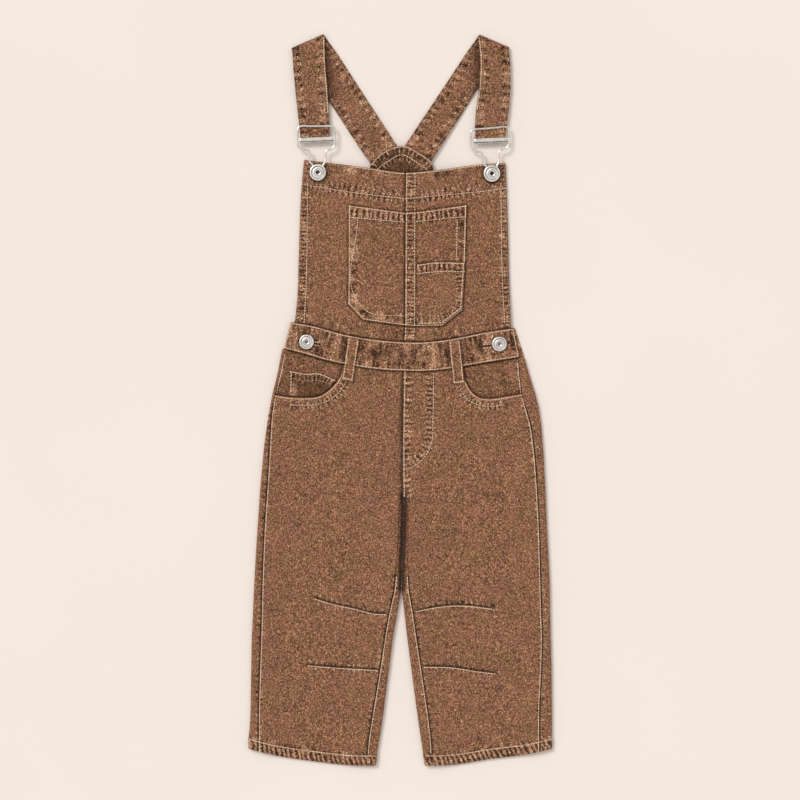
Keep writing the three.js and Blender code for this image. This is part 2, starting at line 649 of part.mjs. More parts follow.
const RIGHT_STRAP = {
  back: table(STRAP_COLUMNS, [
    [29.7, 246.6, 2.5, 263.2, YOKE_STRAP_BASE],
    [35.2, 254.8, 8.0, 271.7, YOKE_STRAP_BASE],
    [41.2, 263.9, 14.0, 280.7, YOKE_STRAP_BASE],
    [54.2, 284.0, 26.9, 300.2, 0.7],
    [66.2, 302.6, 39.4, 319.0, 0],
    [79.4, 324.4, 53.9, 340.9, 0],
    [98, 348.4, 69.6, 364.7, 0],
    [113.6, 367.4, 81.4, 381.0, 0],
  ]),
  front: table(STRAP_COLUMNS, [
    [114.0, 367.4, 81.8, 381.0, STRAP_FRONT_BASE],
    [115.6, 350, 84.2, 357, STRAP_FRONT_BASE],
    [115.8, 326, 83.0, 328, STRAP_FRONT_BASE],
    [114.0, 304, 79.6, 304, STRAP_FRONT_BASE],
    [111.6, 287.4, 78.2, 287.6, STRAP_FRONT_BASE],
    [109.6, 270.6, 79.6, 270.6, STRAP_FRONT_BASE],
  ]),
};
const STRAP_FOLD_STEPS = 5;
const STRAP_COLS = 2;

/** A strap: the back run, the fold over the shoulder and the front run as one strip. */
function strap({ back, front }) {
  const half = STRAP_THICK / 2;
  const rows = back.map((r) => ({ ...r, z: r.base + half, lean: 0, rise: -1 }));
  const backEnd = back[back.length - 1];
  const frontEnd = front[0];
  const run = [backEnd.innerX - backEnd.outerX, backEnd.innerY - backEnd.outerY];
  const width = Math.hypot(...run);
  const up = [-run[1] / width, run[0] / width];
  const outward = up[1] > 0 ? up : [-up[0], -up[1]];
  const radius = (frontEnd.base - backEnd.base) / 2;
  for (let i = 1; i < STRAP_FOLD_STEPS; i++) {
    const a = (Math.PI * i) / STRAP_FOLD_STEPS;
    const reach = radius * 1.6 * Math.sin(a);
    const share = i / STRAP_FOLD_STEPS;
    rows.push({
      outerX: mix(backEnd.outerX, frontEnd.outerX, share) + outward[0] * reach,
      outerY: mix(backEnd.outerY, frontEnd.outerY, share) + outward[1] * reach,
      innerX: mix(backEnd.innerX, frontEnd.innerX, share) + outward[0] * reach,
      innerY: mix(backEnd.innerY, frontEnd.innerY, share) + outward[1] * reach,
      z: backEnd.base + half + radius * (1 - Math.cos(a)),
      lean: Math.sin(a),
      rise: -Math.cos(a),
    });
  }
  rows.push(...front.map((r) => ({ ...r, z: r.base + half, lean: 0, rise: 1 })));
  const face = (side) =>
    rows.map((r) =>
      Array.from({ length: STRAP_COLS + 1 }, (_, j) => {
        const t = j / STRAP_COLS;
        return [
          mix(r.outerX, r.innerX, t) + side * half * r.lean * outward[0],
          mix(r.outerY, r.innerY, t) + side * half * r.lean * outward[1],
          r.z + side * half * r.rise,
        ];
      }),
    );
  return closedSheet(face(1), face(-1));
}

/** Belt loop: a narrow strip down over the waistband, stitched to the leg front below it. */
function beltLoop(top, bottom) {
  const dx = bottom[0] - top[0];
  const dy = bottom[1] - top[1];
  const length = Math.hypot(dx, dy);
  const across = [(-dy / length) * (LOOP_WIDTH / 2), (dx / length) * (LOOP_WIDTH / 2)];
  const edge = (p, side) => [p[0] - side * across[0], p[1] - side * across[1]];
  const edges = {
    top: [edge(top, 1), edge(top, -1)],
    bottom: [edge(bottom, 1), edge(bottom, -1)],
    left: [edge(top, 1), edge(bottom, 1)],
    right: [edge(top, -1), edge(bottom, -1)],
  };
  const bandTop = HIP_FRONT_BASE + WAISTBAND_THICK + SEAM;
  const legTop = HIP_FRONT_BASE + DENIM + HEM_LIFT + SEAM;
  const base = (x, y, u, v) => mix(bandTop, legTop, ease(0.74, 0.94, v));
  return panel(edges, [0, 0.5, 1], stops(10), base, () => LOOP_THICK);
}

/** Coin pocket on the left hip facing; the front panel covers its lower corner. */
function coinPocket() {
  const edges = {
    top: [[-115.9, 30.8], [-100.9, 27.7], [-86, 27.9], [-67.6, 20.6]],
    bottom: [[-117.2, 3.6], [-100.9, 2.9], [-84.6, 4.8], [-73.0, 13.0]],
    left: [[-115.9, 30.8], [-117.2, 3.6]],
    right: [[-67.6, 20.6], [-73.0, 13.0]],
  };
  const base = () => HIP_FRONT_BASE;
  return panel(edges, stops(8), [0, 0.3, 0.34, 1], base, (x, y, u, v) => 0.9 + (v <= 0.31 ? 0.5 : 0));
}

/** Turned profile of [radius, height] about a vertical line. */
function turned(profile, segments, x, y) {
  const positions = [x, y, profile[0][1]];
  const index = [];
  const rings = profile.filter(([radius]) => radius > 0);
  for (const [radius, z] of rings) {
    for (let k = 0; k < segments; k++) {
      const a = (2 * Math.PI * k) / segments;
      positions.push(x + radius * Math.cos(a), y + radius * Math.sin(a), z);
    }
  }
  positions.push(x, y, profile[profile.length - 1][1]);
  const ring = (r, k) => 1 + r * segments + (k % segments);
  const end = positions.length / 3 - 1;
  for (let k = 0; k < segments; k++) {
    index.push(0, ring(0, k + 1), ring(0, k));
    for (let r = 0; r + 1 < rings.length; r++) {
      index.push(ring(r, k), ring(r, k + 1), ring(r + 1, k + 1));
      index.push(ring(r, k), ring(r + 1, k + 1), ring(r + 1, k));
    }
    index.push(end, ring(rings.length - 1, k), ring(rings.length - 1, k + 1));
  }
  return facingOut(positions, index);
}

// Shank button. Columns: share of the radius, height above the underside of the head.
const BUTTON_HEAD = table(["share", "height"], [
  [0.86, 0], [0.98, 0.35], [1, 0.8], [0.95, 1.25], [0.84, 1.45], [0.76, 1.3],
  [0.62, 1.15], [0.52, 1.4], [0.4, 1.45], [0.26, 1.2], [0.16, 0.8], [0, 0.7],
]);
const SHANK_RADIUS = 2.4;

/** Button whose shank stands at `low` and whose head starts at `head`. */
function button(x, y, radius, low, head) {
  const profile = [
    [0, low], [SHANK_RADIUS, low], [SHANK_RADIUS, head],
    ...BUTTON_HEAD.map(({ share, height }) => [share * radius, head + height]),
  ];
  return turned(profile, 18, x, y);
}

/** Round wire along a closed line of [x, y, z]. */
function wire(line, radius, sides) {
  const curve = new THREE.CatmullRomCurve3(
    line.map(([x, y, z]) => new THREE.Vector3(x, y, z)), true, "catmullrom", 0.25,
  );
  const geometry = new THREE.TubeGeometry(curve, line.length * 2, radius, sides, true);
  geometry.deleteAttribute("normal");
  geometry.deleteAttribute("uv");
  const merged = mergeVertices(geometry, 1e-4);
  return facingOut(Array.from(merged.attributes.position.array), Array.from(merged.index.array));
}

// Bib buttons, waist buttons and buckles
const BIB_BUTTON_RADIUS = 8.7;
const WAIST_BUTTON_RADIUS = 7.7;
const WIRE_RADIUS = 1.05;
const BUCKLE_Z = STRAP_FRONT_BASE + STRAP_THICK + SEAM + WIRE_RADIUS;
const LEFT_BUTTON = [-86.5, 238.1];
const RIGHT_BUTTON = [96.1, 237.0];

// Wire frames of the buckles, from the button's centre: down the right side, round the shank, up the
// left side and back along the straight top.
const LEFT_WIRE = [
  [13.7, 48.7], [16.1, 47.9], [17.5, 45.5], [17.9, 41.4], [17.9, 31.9], [17.3, 28.3], [15.3, 25.6],
  [12, 24.2], [9.5, 23.1], [8.2, 20.7], [8.6, 17.1], [8.8, 14.1], [7.5, 10.8], [5.3, 7.3], [5.9, 3.2],
  [5.9, -0.4], [4.3, -4.3], [0, -6.1], [-4.3, -4.3], [-5.9, -0.4], [-5.9, 3.2], [-5.5, 7.3],
  [-7.9, 10.9], [-9.6, 14.1], [-9.1, 17.3], [-8.5, 20.3], [-9.7, 22.6], [-12.4, 23.7], [-16.4, 24.4],
  [-19.5, 26], [-21, 28.9], [-21.4, 32.9], [-21.4, 41.4], [-21, 45.7], [-19.7, 48], [-17.5, 48.7],
  [-8, 48.7], [4, 48.7],
];
const RIGHT_WIRE = [
  [14.3, 49], [16.5, 48.3], [17.7, 46], [18, 42.4], [18, 33.6], [17.4, 29.6], [15.5, 26.8],
  [12.5, 25.3], [9.4, 24.6], [7.7, 22.6], [7.4, 19], [7.9, 14.4], [6.9, 11.2], [5.2, 7.8], [5.9, 3.4],
  [5.9, -0.4], [4.3, -4.3], [0, -6.1], [-4.3, -4.3], [-5.9, -0.4], [-5.9, 3], [-5.7, 6.8], [-7.9, 9.6],
  [-9.3, 12.8], [-9.5, 16.6], [-9.8, 20.2], [-11.3, 22.2], [-14.9, 22.9], [-18.5, 23.7], [-20.9, 25.8],
  [-21.9, 29], [-22.2, 33.6], [-22.2, 40.4], [-21.7, 43.9], [-20.3, 45.8], [-17.9, 46.4], [-7.1, 47.3],
  [3.9, 48.2],
];

/** Wire frame of a buckle, hooked under the head of the bib button at (cx, cy). */
function buckleFrame([cx, cy], line) {
  return wire(line.map(([x, y]) => [cx + x, cy + y, BUCKLE_Z]), WIRE_RADIUS, 7);
}

const SLIDE_THICK = 1.4;

/** Flat polished bar of a buckle, across the strap inside the wire frame. */
function buckleBar(left, right, y, tilt) {
  const half = 2.7;
  const edges = {
    top: [[left, y + half + tilt], [right, y + half - tilt]],
    bottom: [[left, y - half + tilt], [right, y - half - tilt]],
    left: [[left, y + half + tilt], [left, y - half + tilt]],
    right: [[right, y + half - tilt], [right, y - half - tilt]],
  };
  const base = STRAP_FRONT_BASE + STRAP_THICK + SEAM;
  const crown = (x, yy, u, v) => SLIDE_THICK * (0.45 + 0.55 * Math.sin(Math.PI * v));
  return panel(edges, [0, 0.04, 0.5, 0.96, 1], [0, 0.12, 0.3, 0.5, 0.7, 0.88, 1], () => base, crown);
}

// Assembly
const dungarees = new THREE.Group();
dungarees.name = "kids_dungarees";

function add(name, geometry, color, roughness = 0.9, metalness = 0) {
  const mesh = new THREE.Mesh(geometry, new THREE.MeshStandardMaterial({ color, roughness, metalness }));
  mesh.name = name;
  dungarees.add(mesh);
}

add("leg_back_left", legBack(LEFT_LEG, -1), BROWN);
add("leg_back_right", legBack(RIGHT_LEG, 1), BROWN);
add("leg_front_left", legFront(LEFT_LEG, -1, LEFT_SCOOP, KNEE_TUCKS.left), BROWN);
add("leg_front_right", legFront(RIGHT_LEG, 1, RIGHT_SCOOP, KNEE_TUCKS.right), BROWN);
add("hip_facing_left", hipFacing(LEFT_LEG, -1, -12, -50), BROWN_DEEP);
add("hip_facing_right", hipFacing(RIGHT_LEG, 1, -12, 56), BROWN_DEEP);
add("coin_pocket_left", coinPocket(), BROWN_DEEP);
add("waistband_front", waistbandFront(), BROWN);
add("waistband_back", waistbandBack(), BROWN);
add("belt_loop_left", beltLoop([-48.7, 64.4], [-55.6, 19.2]), BROWN);
add("belt_loop_right", beltLoop([56.7, 62.2], [61.5, 16.0]), BROWN);
add("bib_left", bibHalf(true), BROWN);
add("bib_right", bibHalf(false), BROWN);
add("bib_pocket_left", bibPocketHalf(true), BROWN);
add("bib_pocket_right", bibPocketHalf(false), BROWN);
add("bib_pocket_small", smallBibPocket(), BROWN);
add("back_bib", backBib(), BROWN);
add("yoke_facing", yokeFacing(), BROWN_DEEP);
add("strap_left", strap(LEFT_STRAP), BROWN);
add("strap_right", strap(RIGHT_STRAP), BROWN);

const bibButtonLow = bibFace(...LEFT_BUTTON) + HEM_LIFT + SEAM;
const bibButtonHead = BUCKLE_Z + WIRE_RADIUS + SEAM;
add("bib_button_left", button(...LEFT_BUTTON, BIB_BUTTON_RADIUS, bibButtonLow, bibButtonHead), NICKEL, 0.3, 1);
add("bib_button_right", button(...RIGHT_BUTTON, BIB_BUTTON_RADIUS, bibButtonLow, bibButtonHead), NICKEL, 0.3, 1);
add("buckle_frame_left", buckleFrame(LEFT_BUTTON, LEFT_WIRE), NICKEL, 0.28, 1);
add("buckle_frame_right", buckleFrame(RIGHT_BUTTON, RIGHT_WIRE), NICKEL, 0.28, 1);
add("buckle_bar_left", buckleBar(-105.6, -70.6, 272.6, -0.8), NICKEL, 0.22, 1);
add("buckle_bar_right", buckleBar(77.4, 112.6, 271.7, -0.7), NICKEL, 0.22, 1);

const bandTop = HIP_FRONT_BASE + WAISTBAND_THICK;
add("waist_button_left", button(-98.3, 60.4, WAIST_BUTTON_RADIUS, bandTop + SEAM, bandTop + 1.5), NICKEL, 0.3, 1);
add("waist_button_right", button(104.0, 58.2, WAIST_BUTTON_RADIUS, bandTop + SEAM, bandTop + 1.5), NICKEL, 0.3, 1);

export default dungarees;
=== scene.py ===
"""Kids' dungarees in stone-washed brown denim, laid flat with the front up.

Sizes are in millimetres until a mesh is made, as in the part's own source: +X to the right of the
front view, +Y from the hems to the shoulders, +Z up from the surface.
"""

import logging
import math
from collections.abc import Callable, Sequence
from dataclasses import dataclass, field
from enum import Enum

import bpy
import numpy as np
from bpy.types import Material, Node, NodeSocket, NodeTree, Object
from mathutils.bvhtree import BVHTree
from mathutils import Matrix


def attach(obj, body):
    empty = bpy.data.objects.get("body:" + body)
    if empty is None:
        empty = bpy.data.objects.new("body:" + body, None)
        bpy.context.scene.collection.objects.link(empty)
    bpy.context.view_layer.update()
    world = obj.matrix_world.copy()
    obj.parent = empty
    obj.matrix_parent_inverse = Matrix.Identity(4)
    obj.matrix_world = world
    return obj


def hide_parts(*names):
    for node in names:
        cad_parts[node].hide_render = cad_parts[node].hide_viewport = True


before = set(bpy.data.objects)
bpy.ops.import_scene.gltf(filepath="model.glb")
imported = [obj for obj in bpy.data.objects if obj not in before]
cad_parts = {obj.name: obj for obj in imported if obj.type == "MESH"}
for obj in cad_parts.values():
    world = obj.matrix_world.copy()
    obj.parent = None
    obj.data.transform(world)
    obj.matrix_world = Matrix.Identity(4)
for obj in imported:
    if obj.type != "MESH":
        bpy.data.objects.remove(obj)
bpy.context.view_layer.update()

LOG = logging.getLogger("dungarees")

Array = np.ndarray
Point = tuple[float, float]
Line = list[Point]
Height = Callable[[Array, Array], Array]

MM = 0.001
BODY = "root"

# Cloth and seam sizes
DENIM = 1.3
SEAM = 0.3
HALF_SEAM = SEAM / 2
HEM_LIFT = 0.7
LEG_HEIGHT = 5.2
FOLD_RADIUS = (LEG_HEIGHT - DENIM) / 2
WAISTBAND_THICK = 2.4
STRAP_THICK = 2.2
LOOP_THICK = 1.8
LOOP_WIDTH = 11.6
LEG_HEM = 11.5
BIB_SIDE_HEM = 9.0
BIB_TOP_HEM = 27.0
FELLED_BAND = 10.6
HEM_STEP = 1.4
BIB_HEM_STEP = 1.2
BAND_STEP = 1.0
EDGE_ROUND = 0.9
BIB_BUTTON_RADIUS = 8.7
WAIST_BUTTON_RADIUS = 7.7
FULL_TURN = 6.2832
SIDES = ("left", "right")

# Heights of what lies under the front
BACK_TOP = DENIM + SEAM
HIP_FRONT_BASE = BACK_TOP + DENIM + SEAM
THIGH_FRONT_BASE = BACK_TOP + 0.1
EDGE_FRONT_BASE = LEG_HEIGHT - DENIM
YOKE_FACING_BASE = BACK_TOP + STRAP_THICK + SEAM
BIB_OVER_YOKE_BASE = YOKE_FACING_BASE + DENIM + SEAM
STRAP_FRONT_BASE = STRAP_THICK + 0.4
BAND_TOP = HIP_FRONT_BASE + WAISTBAND_THICK

# Outline of each leg. Columns: y, outermost x, side seam, inner edge, inseam, 1 where it wraps inside
LEFT_LEG = [
    (53.1, -124.2, -121.4, 3.0, 3.0, 0), (30, -128.5, -125.8, 3.0, 3.0, 0),
    (4.9, -134.6, -131.9, 2.9, 2.9, 0), (-19, -139.0, -135.8, 2.6, 2.6, 0),
    (-47.5, -143.0, -137.4, 2.4, 2.4, 0), (-83.9, -146.5, -139.5, 2.4, 2.4, 0),
    (-98, -147.6, -140.4, 2.4, 2.4, 0), (-99.5, -147.7, -140.5, 2.6, 2.1, 1), (
        -112, -148.5, -141.4, 3.2, -0.9, 1
    ),
    (-138.9, -150.4, -143.2, 2.6, -1.7, 1), (-168, -152.2, -144.5, 1.4, -3.6, 1),
    (-200, -153.9, -145.6, 0.7, -6.4, 1), (-225.4, -155.0, -146.0, -3.4, -12.2, 1),
    (-251, -156.2, -146.7, -7.8, -16.6, 1), (-283, -156.8, -147.9, -11.9, -21.4, 1),
    (-327.3, -157.5, -149.2, -17.5, -28.8, 1), (-355, -158.6, -149.2, -21.6, -33.2, 1),
    (-366.7, -159.4, -149.2, -23.6, -34.4, 1), (-384.5, -159.4, -149.2, -25.8, -36.0, 1),
]
RIGHT_LEG = [
    (43.6, 130.4, 124.2, 3.3, 3.3, 0), (25, 135.8, 125.6, 3.2, 3.2, 0),
    (6, 141.7, 128.1, 3.1, 3.1, 0), (-7.7, 145.2, 131.6, 3.0, 3.0, 0),
    (-24.7, 147.8, 137.2, 2.9, 2.9, 0), (-58.9, 150.6, 141.7, 2.8, 2.8, 0),
    (-98, 152.6, 144.5, 2.8, 2.8, 0), (-99.5, 152.7, 144.6, 3.2, 3.1, 1), (-112, 153.2, 145.2, 3.8, 7.9, 1),
    (-138.9, 154.3, 146.5, 3.2, 8.2, 1), (-168, 155.9, 147.3, 2.0, 7.8, 1),
    (-200, 157.1, 148.1, 1.5, 9.4, 1), (-225.4, 157.4, 148.8, 4.4, 13.9, 1),
    (-251, 158.0, 149.8, 7.4, 17.6, 1), (-283, 158.9, 148.8, 11.5, 22.5, 1),
    (-327.3, 159.4, 146.6, 17.4, 29.2, 1), (-355, 159.4, 146.6, 21.4, 32.6, 1),
    (-366.7, 159.4, 146.6, 23.1, 33.4, 1), (-384.5, 159.4, 146.6, 25.7, 33.4, 1),
]

# Lines of the cut, left to right or top to bottom
WAIST_TOP: Line = [
    (-115.1, 81.4), (-94.1, 77.8), (-57.6, 68.1), (-22.4, 62.5), (1.6, 60.5),
    (20.7, 60.2), (46.1, 62.5), (91.7, 71.0), (119.0, 75.0),
]
WAIST_BOTTOM: Line = [
    (-122.5, 53.4), (-101.2, 48.0), (-78.4, 41.3), (-59.9, 37.2), (-43.9, 34.3), (-15.5, 30.8),
    (3.1, 29.9), (23.3, 29.6), (46.1, 31.4), (66.6, 34.8), (91.7, 39.1), (124.6, 44.2),
]
HEM: Line = [
    (-159.4, -366.7), (-130.1, -374.3), (-92.0, -380.1), (-53.9, -384.2), (-25.8, -384.5),
    (25.7, -384.5), (55.0, -383.9), (93.2, -378.1), (131.4, -373.1), (159.4, -366.7),
]
LEFT_SCOOP: Line = [
    (-131.6, 4.9), (-116.5, 2.6), (-100.9, 2.0), (-84.9, 3.8), (-77, 8.2),
    (-70.7, 13.7), (-65.8, 20), (-62.3, 26.4), (-59.6, 37.0),
]
RIGHT_SCOOP: Line = [
    (65.6, 34.5), (66.4, 27.5), (68.2, 20.4), (73.5, 10.6), (78, 5.4),
    (83.7, 2.1), (91.7, 0.9), (108.9, 2.8), (127.8, 6.0),
]
YOKE_TOP: Line = [
    (-31.4, 246.6), (-25, 254.2), (-17.9, 259.9), (-5.8, 265.2), (1.5, 266.5),
    (9.9, 264.7), (20.7, 258.6), (28, 253.8), (33.2, 249.6),
]
BIB_TOP: Line = [
    (-101.2, 252.0), (-75.9, 248.9), (-31.8, 242.9), (5.7, 238.1), (16.4, 238.6), (38.2, 240.7),
    (86.7, 247.4), (110.6, 248.6),
]
BIB_LEFT: Line = [(-101.2, 252.0), (-104.3, 215.8), (-106.6, 154.1), (-108.2, 107.9), (-110.6, 80.9)]
BIB_RIGHT: Line = [(110.6, 248.6), (112.9, 185.0), (114.5, 123.4), (116.4, 74.9)]
BIB_SEAM: Line = [(5.7, 238.1), (5.2, 195.8), (4.7, 77.2), (3.9, 60.7)]
CENTRE_SEAM: Line = [(3.2, 29.6), (2.0, -42.5), (2.3, -102.4)]

# Knee tucks, from the inseam outward
LEFT_TUCKS: list[Line] = [
    [(-14.5, -224.6), (-25.8, -224.2), (-47.5, -219.1), (-70, -214.2), (-89.5, -208.3)],
    [(-23.5, -283.4), (-40, -282.4), (-60.2, -281.4), (-92.0, -278.9), (-97.0, -278.4)],
]
RIGHT_TUCKS: list[Line] = [
    [(15.6, -221.4), (39.8, -217.2), (55, -215.7), (70.2, -215.9), (97.0, -219.1)],
    [(24.2, -279.6), (55.0, -280.8), (80.4, -284.7), (100.8, -287.2)],
]

# Straps. Columns: x and y of the edge away from the neck, x and y of the edge by it, underside height
LEFT_STRAP = (
    [
        (-27.9, 242.9, -0.8, 262.1, 1.6), (-33.4, 250.9, -6.2, 270.6, 1.6),
        (-39.6, 259.6, -12.4, 280.2, 1.6), (-52.6, 279.4, -24.8, 299.4, 0.7),
        (-64.6, 298.2, -37.2, 318.6, 0), (-75.4, 314.2, -51.4, 340.6, 0),
        (-98, 344.6, -67.2, 365.0, 0), (-113.4, 366.6, -79.2, 381.4, 0),
    ],
    [
        (-113.4, 366.6, -79.4, 381.4, 2.6), (-112.6, 350, -78.9, 356.4, 2.6),
        (-110.4, 326, -76.6, 328, 2.6), (-107.6, 300, -74.9, 301, 2.6),
        (-106.0, 287.2, -74.4, 288, 2.6), (-104.6, 271.4, -74.4, 271.4, 2.6),
    ],
)
RIGHT_STRAP = (
    [
        (29.7, 246.6, 2.5, 263.2, 1.6), (35.2, 254.8, 8.0, 271.7, 1.6),
        (41.2, 263.9, 14.0, 280.7, 1.6), (54.2, 284.0, 26.9, 300.2, 0.7),
        (66.2, 302.6, 39.4, 319.0, 0), (79.4, 324.4, 53.9, 340.9, 0),
        (98, 348.4, 69.6, 364.7, 0), (113.6, 367.4, 81.4, 381.0, 0),
    ],
    [
        (114.0, 367.4, 81.8, 381.0, 2.6), (115.6, 350, 84.2, 357, 2.6),
        (115.8, 326, 83.0, 328, 2.6), (114.0, 304, 79.6, 304, 2.6),
        (111.6, 287.4, 78.2, 287.6, 2.6), (109.6, 270.6, 79.6, 270.6, 2.6),
    ],
)

WAIST_BUTTONS = ((-98.3, 60.4), (104.0, 58.2))
LEFT_BUTTON: Point = (-86.5, 238.1)
RIGHT_BUTTON: Point = (96.1, 237.0)


def ease(start: float, end: float, at: Array | float) -> Array:
    """Smooth step from 0 at start to 1 at end."""
    t = np.clip((np.asarray(at, float) - start) / (end - start), 0, 1)
    return t * t * (3 - 2 * t)


def mix(a: Array | float, b: Array | float, t: Array | float) -> Array:
    """Straight mix of a and b."""
    return a + (b - a) * t


def lengths_along(line: Array) -> Array:
    """Length from the first point of a line to each of its points."""
    steps = np.hypot(*np.diff(line[:, :2], axis=0).T)
    return np.concatenate([[0.0], np.cumsum(steps)])


def at_shares(line: Array, shares: Array) -> Array:
    """Points at shares of a line's length."""
    run = lengths_along(line)
    want = np.asarray(shares) * run[-1]
    return np.stack([np.interp(want, run, line[:, k]) for k in range(line.shape[1])], axis=1)


def smoothed(points: Sequence[Point], step: float = 1.5) -> Array:
    """The points joined by a soft curve, as points about a step apart.

    Args:
        points: Corners that the curve goes through.
        step: Spacing of the result in millimetres.

    Returns:
        Points of the curve, one to a row.
    """
    p = np.asarray(points, float)
    if len(p) == 2:
        count = max(2, int(math.dist(*p) / step) + 1)
        return at_shares(p, np.linspace(0, 1, count))
    run = lengths_along(p)
    slope = np.gradient(p, run, axis=0)
    slope[0] = (p[1] - p[0]) / (run[1] - run[0])
    slope[-1] = (p[-1] - p[-2]) / (run[-1] - run[-2])
    at = np.linspace(0, run[-1], max(3, int(run[-1] / step) + 1))
    i = np.clip(np.searchsorted(run, at, side="right") - 1, 0, len(p) - 2)
    h = run[i + 1] - run[i]
    t = ((at - run[i]) / h)[:, None]
    h = h[:, None]
    return (
        (2 * t**3 - 3 * t**2 + 1) * p[i]
        + (t**3 - 2 * t**2 + t) * h * slope[i]
        + (3 * t**2 - 2 * t**3) * p[i + 1]
        + (t**3 - t**2) * h * slope[i + 1]
    )


def height_of(line: Sequence[Point], x: Array | float) -> Array:
    """Y of a line of the cut at x."""
    p = smoothed(line, 1.0)
    order = np.argsort(p[:, 0])
    return np.interp(x, p[order, 0], p[order, 1])


def level(height: float) -> Height:
    """The same height at every place."""
    return lambda x, y: height + 0 * x


def shifted(line: Sequence[Point], dx: float, dy: float) -> Line:
    """The line moved sideways and up."""
    return [(x + dx, y + dy) for x, y in line]


def between(line: Sequence[Point], start: float, end: float, step: float = 1.5) -> Array:
    """Part of a line of the cut from x start to x end."""
    x = np.linspace(start, end, max(3, int(abs(end - start) / step) + 1))
    return np.stack([x, height_of(line, x)], axis=1)


def column(rows: Sequence[Sequence[float]], index: int, y: Array) -> Array:
    """One column of a leg table at each y."""
    t = np.asarray(rows, float)[::-1]
    return np.interp(y, t[:, 0], t[:, index])


def stops(length: float, step: float, extra: Sequence[float] = ()) -> Array:
    """Shares from 0 to 1 about a step apart, closer at both ends where an edge rounds over.

    Args:
        length: Length in millimetres that the shares divide.
        step: Spacing in millimetres.
        extra: Further places in millimetres from the start.

    Returns:
        Rising shares from 0 to 1.
    """
    rim = np.array([0.0, 0.35, 0.95])
    inner = np.linspace(1.7, length - 1.7, max(2, int((length - 3.4) / step) + 1))
    places = np.concatenate([rim, inner, length - rim, extra])
    places = np.unique(np.round(places, 3))
    kept = [places[0]]
    for place in places[1:]:
        if place - kept[-1] > 0.25:
            kept.append(place)
    kept[-1] = length
    return np.asarray(kept) / length


def ring_round(centre: Point, radius: float) -> Line:
    """A circle as a closed line."""
    angle = np.linspace(0, 2 * math.pi, 17)
    return list(zip(centre[0] + radius * np.cos(angle), centre[1] + radius * np.sin(angle)))


def coons(top: Array, bottom: Array, left: Array, right: Array, us: Array, vs: Array) -> Array:
    """Grid of points inside four lines.

    Args:
        top: Points of the upper line, left to right, one to each of us.
        bottom: Points of the lower line, left to right, one to each of us.
        left: Points of the left line, top to bottom, one to each of vs.
        right: Points of the right line, top to bottom, one to each of vs.
        us: Shares of the width.
        vs: Shares of the height.

    Returns:
        Points in rows by columns by x and y.
    """
    u = us[None, :, None]
    v = vs[:, None, None]
    corners = mix(mix(top[0], top[-1], u), mix(bottom[0], bottom[-1], u), v)
    return mix(top[None], bottom[None], v) + mix(left[:, None], right[:, None], u) - corners


def scatter(*keys: Array, seed: int) -> Array:
    """Repeatable numbers from 0 to 1 for whole-number keys."""
    mixed = np.full(np.shape(keys[0]), seed * 7919 + 12289, np.uint64)
    for key, prime in zip(keys, (0x9E3779B1, 0x85EBCA77, 0xC2B2AE3D)):
        mixed = (
            mixed ^ (key.astype(np.int64).astype(np.uint64) * np.uint64(prime))
        ) & np.uint64(0xFFFFFFFF)
        mixed = (mixed ^ (mixed >> np.uint64(15))) * np.uint64(0x2C1B3C6D) & np.uint64(0xFFFFFFFF)
        mixed = mixed ^ (mixed >> np.uint64(12))
    return (mixed & np.uint64(0xFFFFF)).astype(float) / 0xFFFFF


def soft_noise(x: Array, y: Array, seed: int) -> Array:
    """Smooth noise from -1 to 1 with cells one unit wide."""
    ix, iy = np.floor(x), np.floor(y)
    fx, fy = x - ix, y - iy
    fx, fy = fx * fx * (3 - 2 * fx), fy * fy * (3 - 2 * fy)
    corner = [scatter(ix + a, iy + b, seed=seed) for b in (0, 1) for a in (0, 1)]
    return mix(mix(corner[0], corner[1], fx), mix(corner[2], corner[3], fx), fy) * 2 - 1


# Masks of the wash and the painted shade: ridges, sewn bands, painted shade, strength of the roping and its
# phase
MARKS = ("wear", "band", "dark", "cord", "run")
WEAR_GAIN = 2.3  # how strongly a ridge or trough beside a seam shows in the wash


@dataclass(frozen=True)
class Seam:
    """A sewn line and what it does to the cloth beside it.

    The cloth draws up in short ridges across the line, worn pale, with dye left dark between them.
    """

    line: Line
    reach: float = 4.5
    depth: float = 0.26
    pitch: float = 5.0
    slant: float = 0.0
    wear: float = 0.8
    groove: float = 0.2
    # Strength and width of the painted shade beside the line, where an edge or a gap would shade the cloth
    dark: float = 0.0
    dark_width: float = 1.0
    rope: float = 0.0

    def nearest(self, x: Array, y: Array) -> tuple[Array, Array, Array]:
        """Distance to the line, length along it and which side, for flat arrays of places.

        Args:
            x: X of each place.
            y: Y of each place.

        Returns:
            The distance, the length along the line, and 1 on its left or -1 on its right.
        """
        p = smoothed(self.line, 4.0)
        a, b = p[:-1], p[1:]
        run = lengths_along(p)[:-1]
        edge = b - a
        size = np.hypot(edge[:, 0], edge[:, 1])
        best = np.full(x.shape, 1e9)
        along = np.zeros(x.shape)
        side = np.ones(x.shape)
        low, high = p.min(axis=0) - 30, p.max(axis=0) + 30
        near = np.flatnonzero((x > low[0]) & (x < high[0]) & (y > low[1]) & (y < high[1]))
        for part in np.array_split(near, max(1, len(near) // 6000)):
            if not len(part):
                continue
            dx = x[part, None] - a[None, :, 0]
            dy = y[part, None] - a[None, :, 1]
            t = np.clip((dx * edge[:, 0] + dy * edge[:, 1]) / size**2, 0, 1)
            gap = np.hypot(dx - t * edge[:, 0], dy - t * edge[:, 1])
            pick = gap.argmin(axis=1)
            row = np.arange(len(part))
            best[part] = gap[row, pick]
            along[part] = run[pick] + t[row, pick] * size[pick]
            side[part] = np.sign(edge[pick, 0] * dy[row, pick] - edge[pick, 1] * dx[row, pick])
        return best, along, side


def pucker(line: Line, **sizes: float) -> Seam:
    """A drawn-up band beside a sewn line, with no groove of its own."""
    return Seam(line, groove=0.0, **sizes)


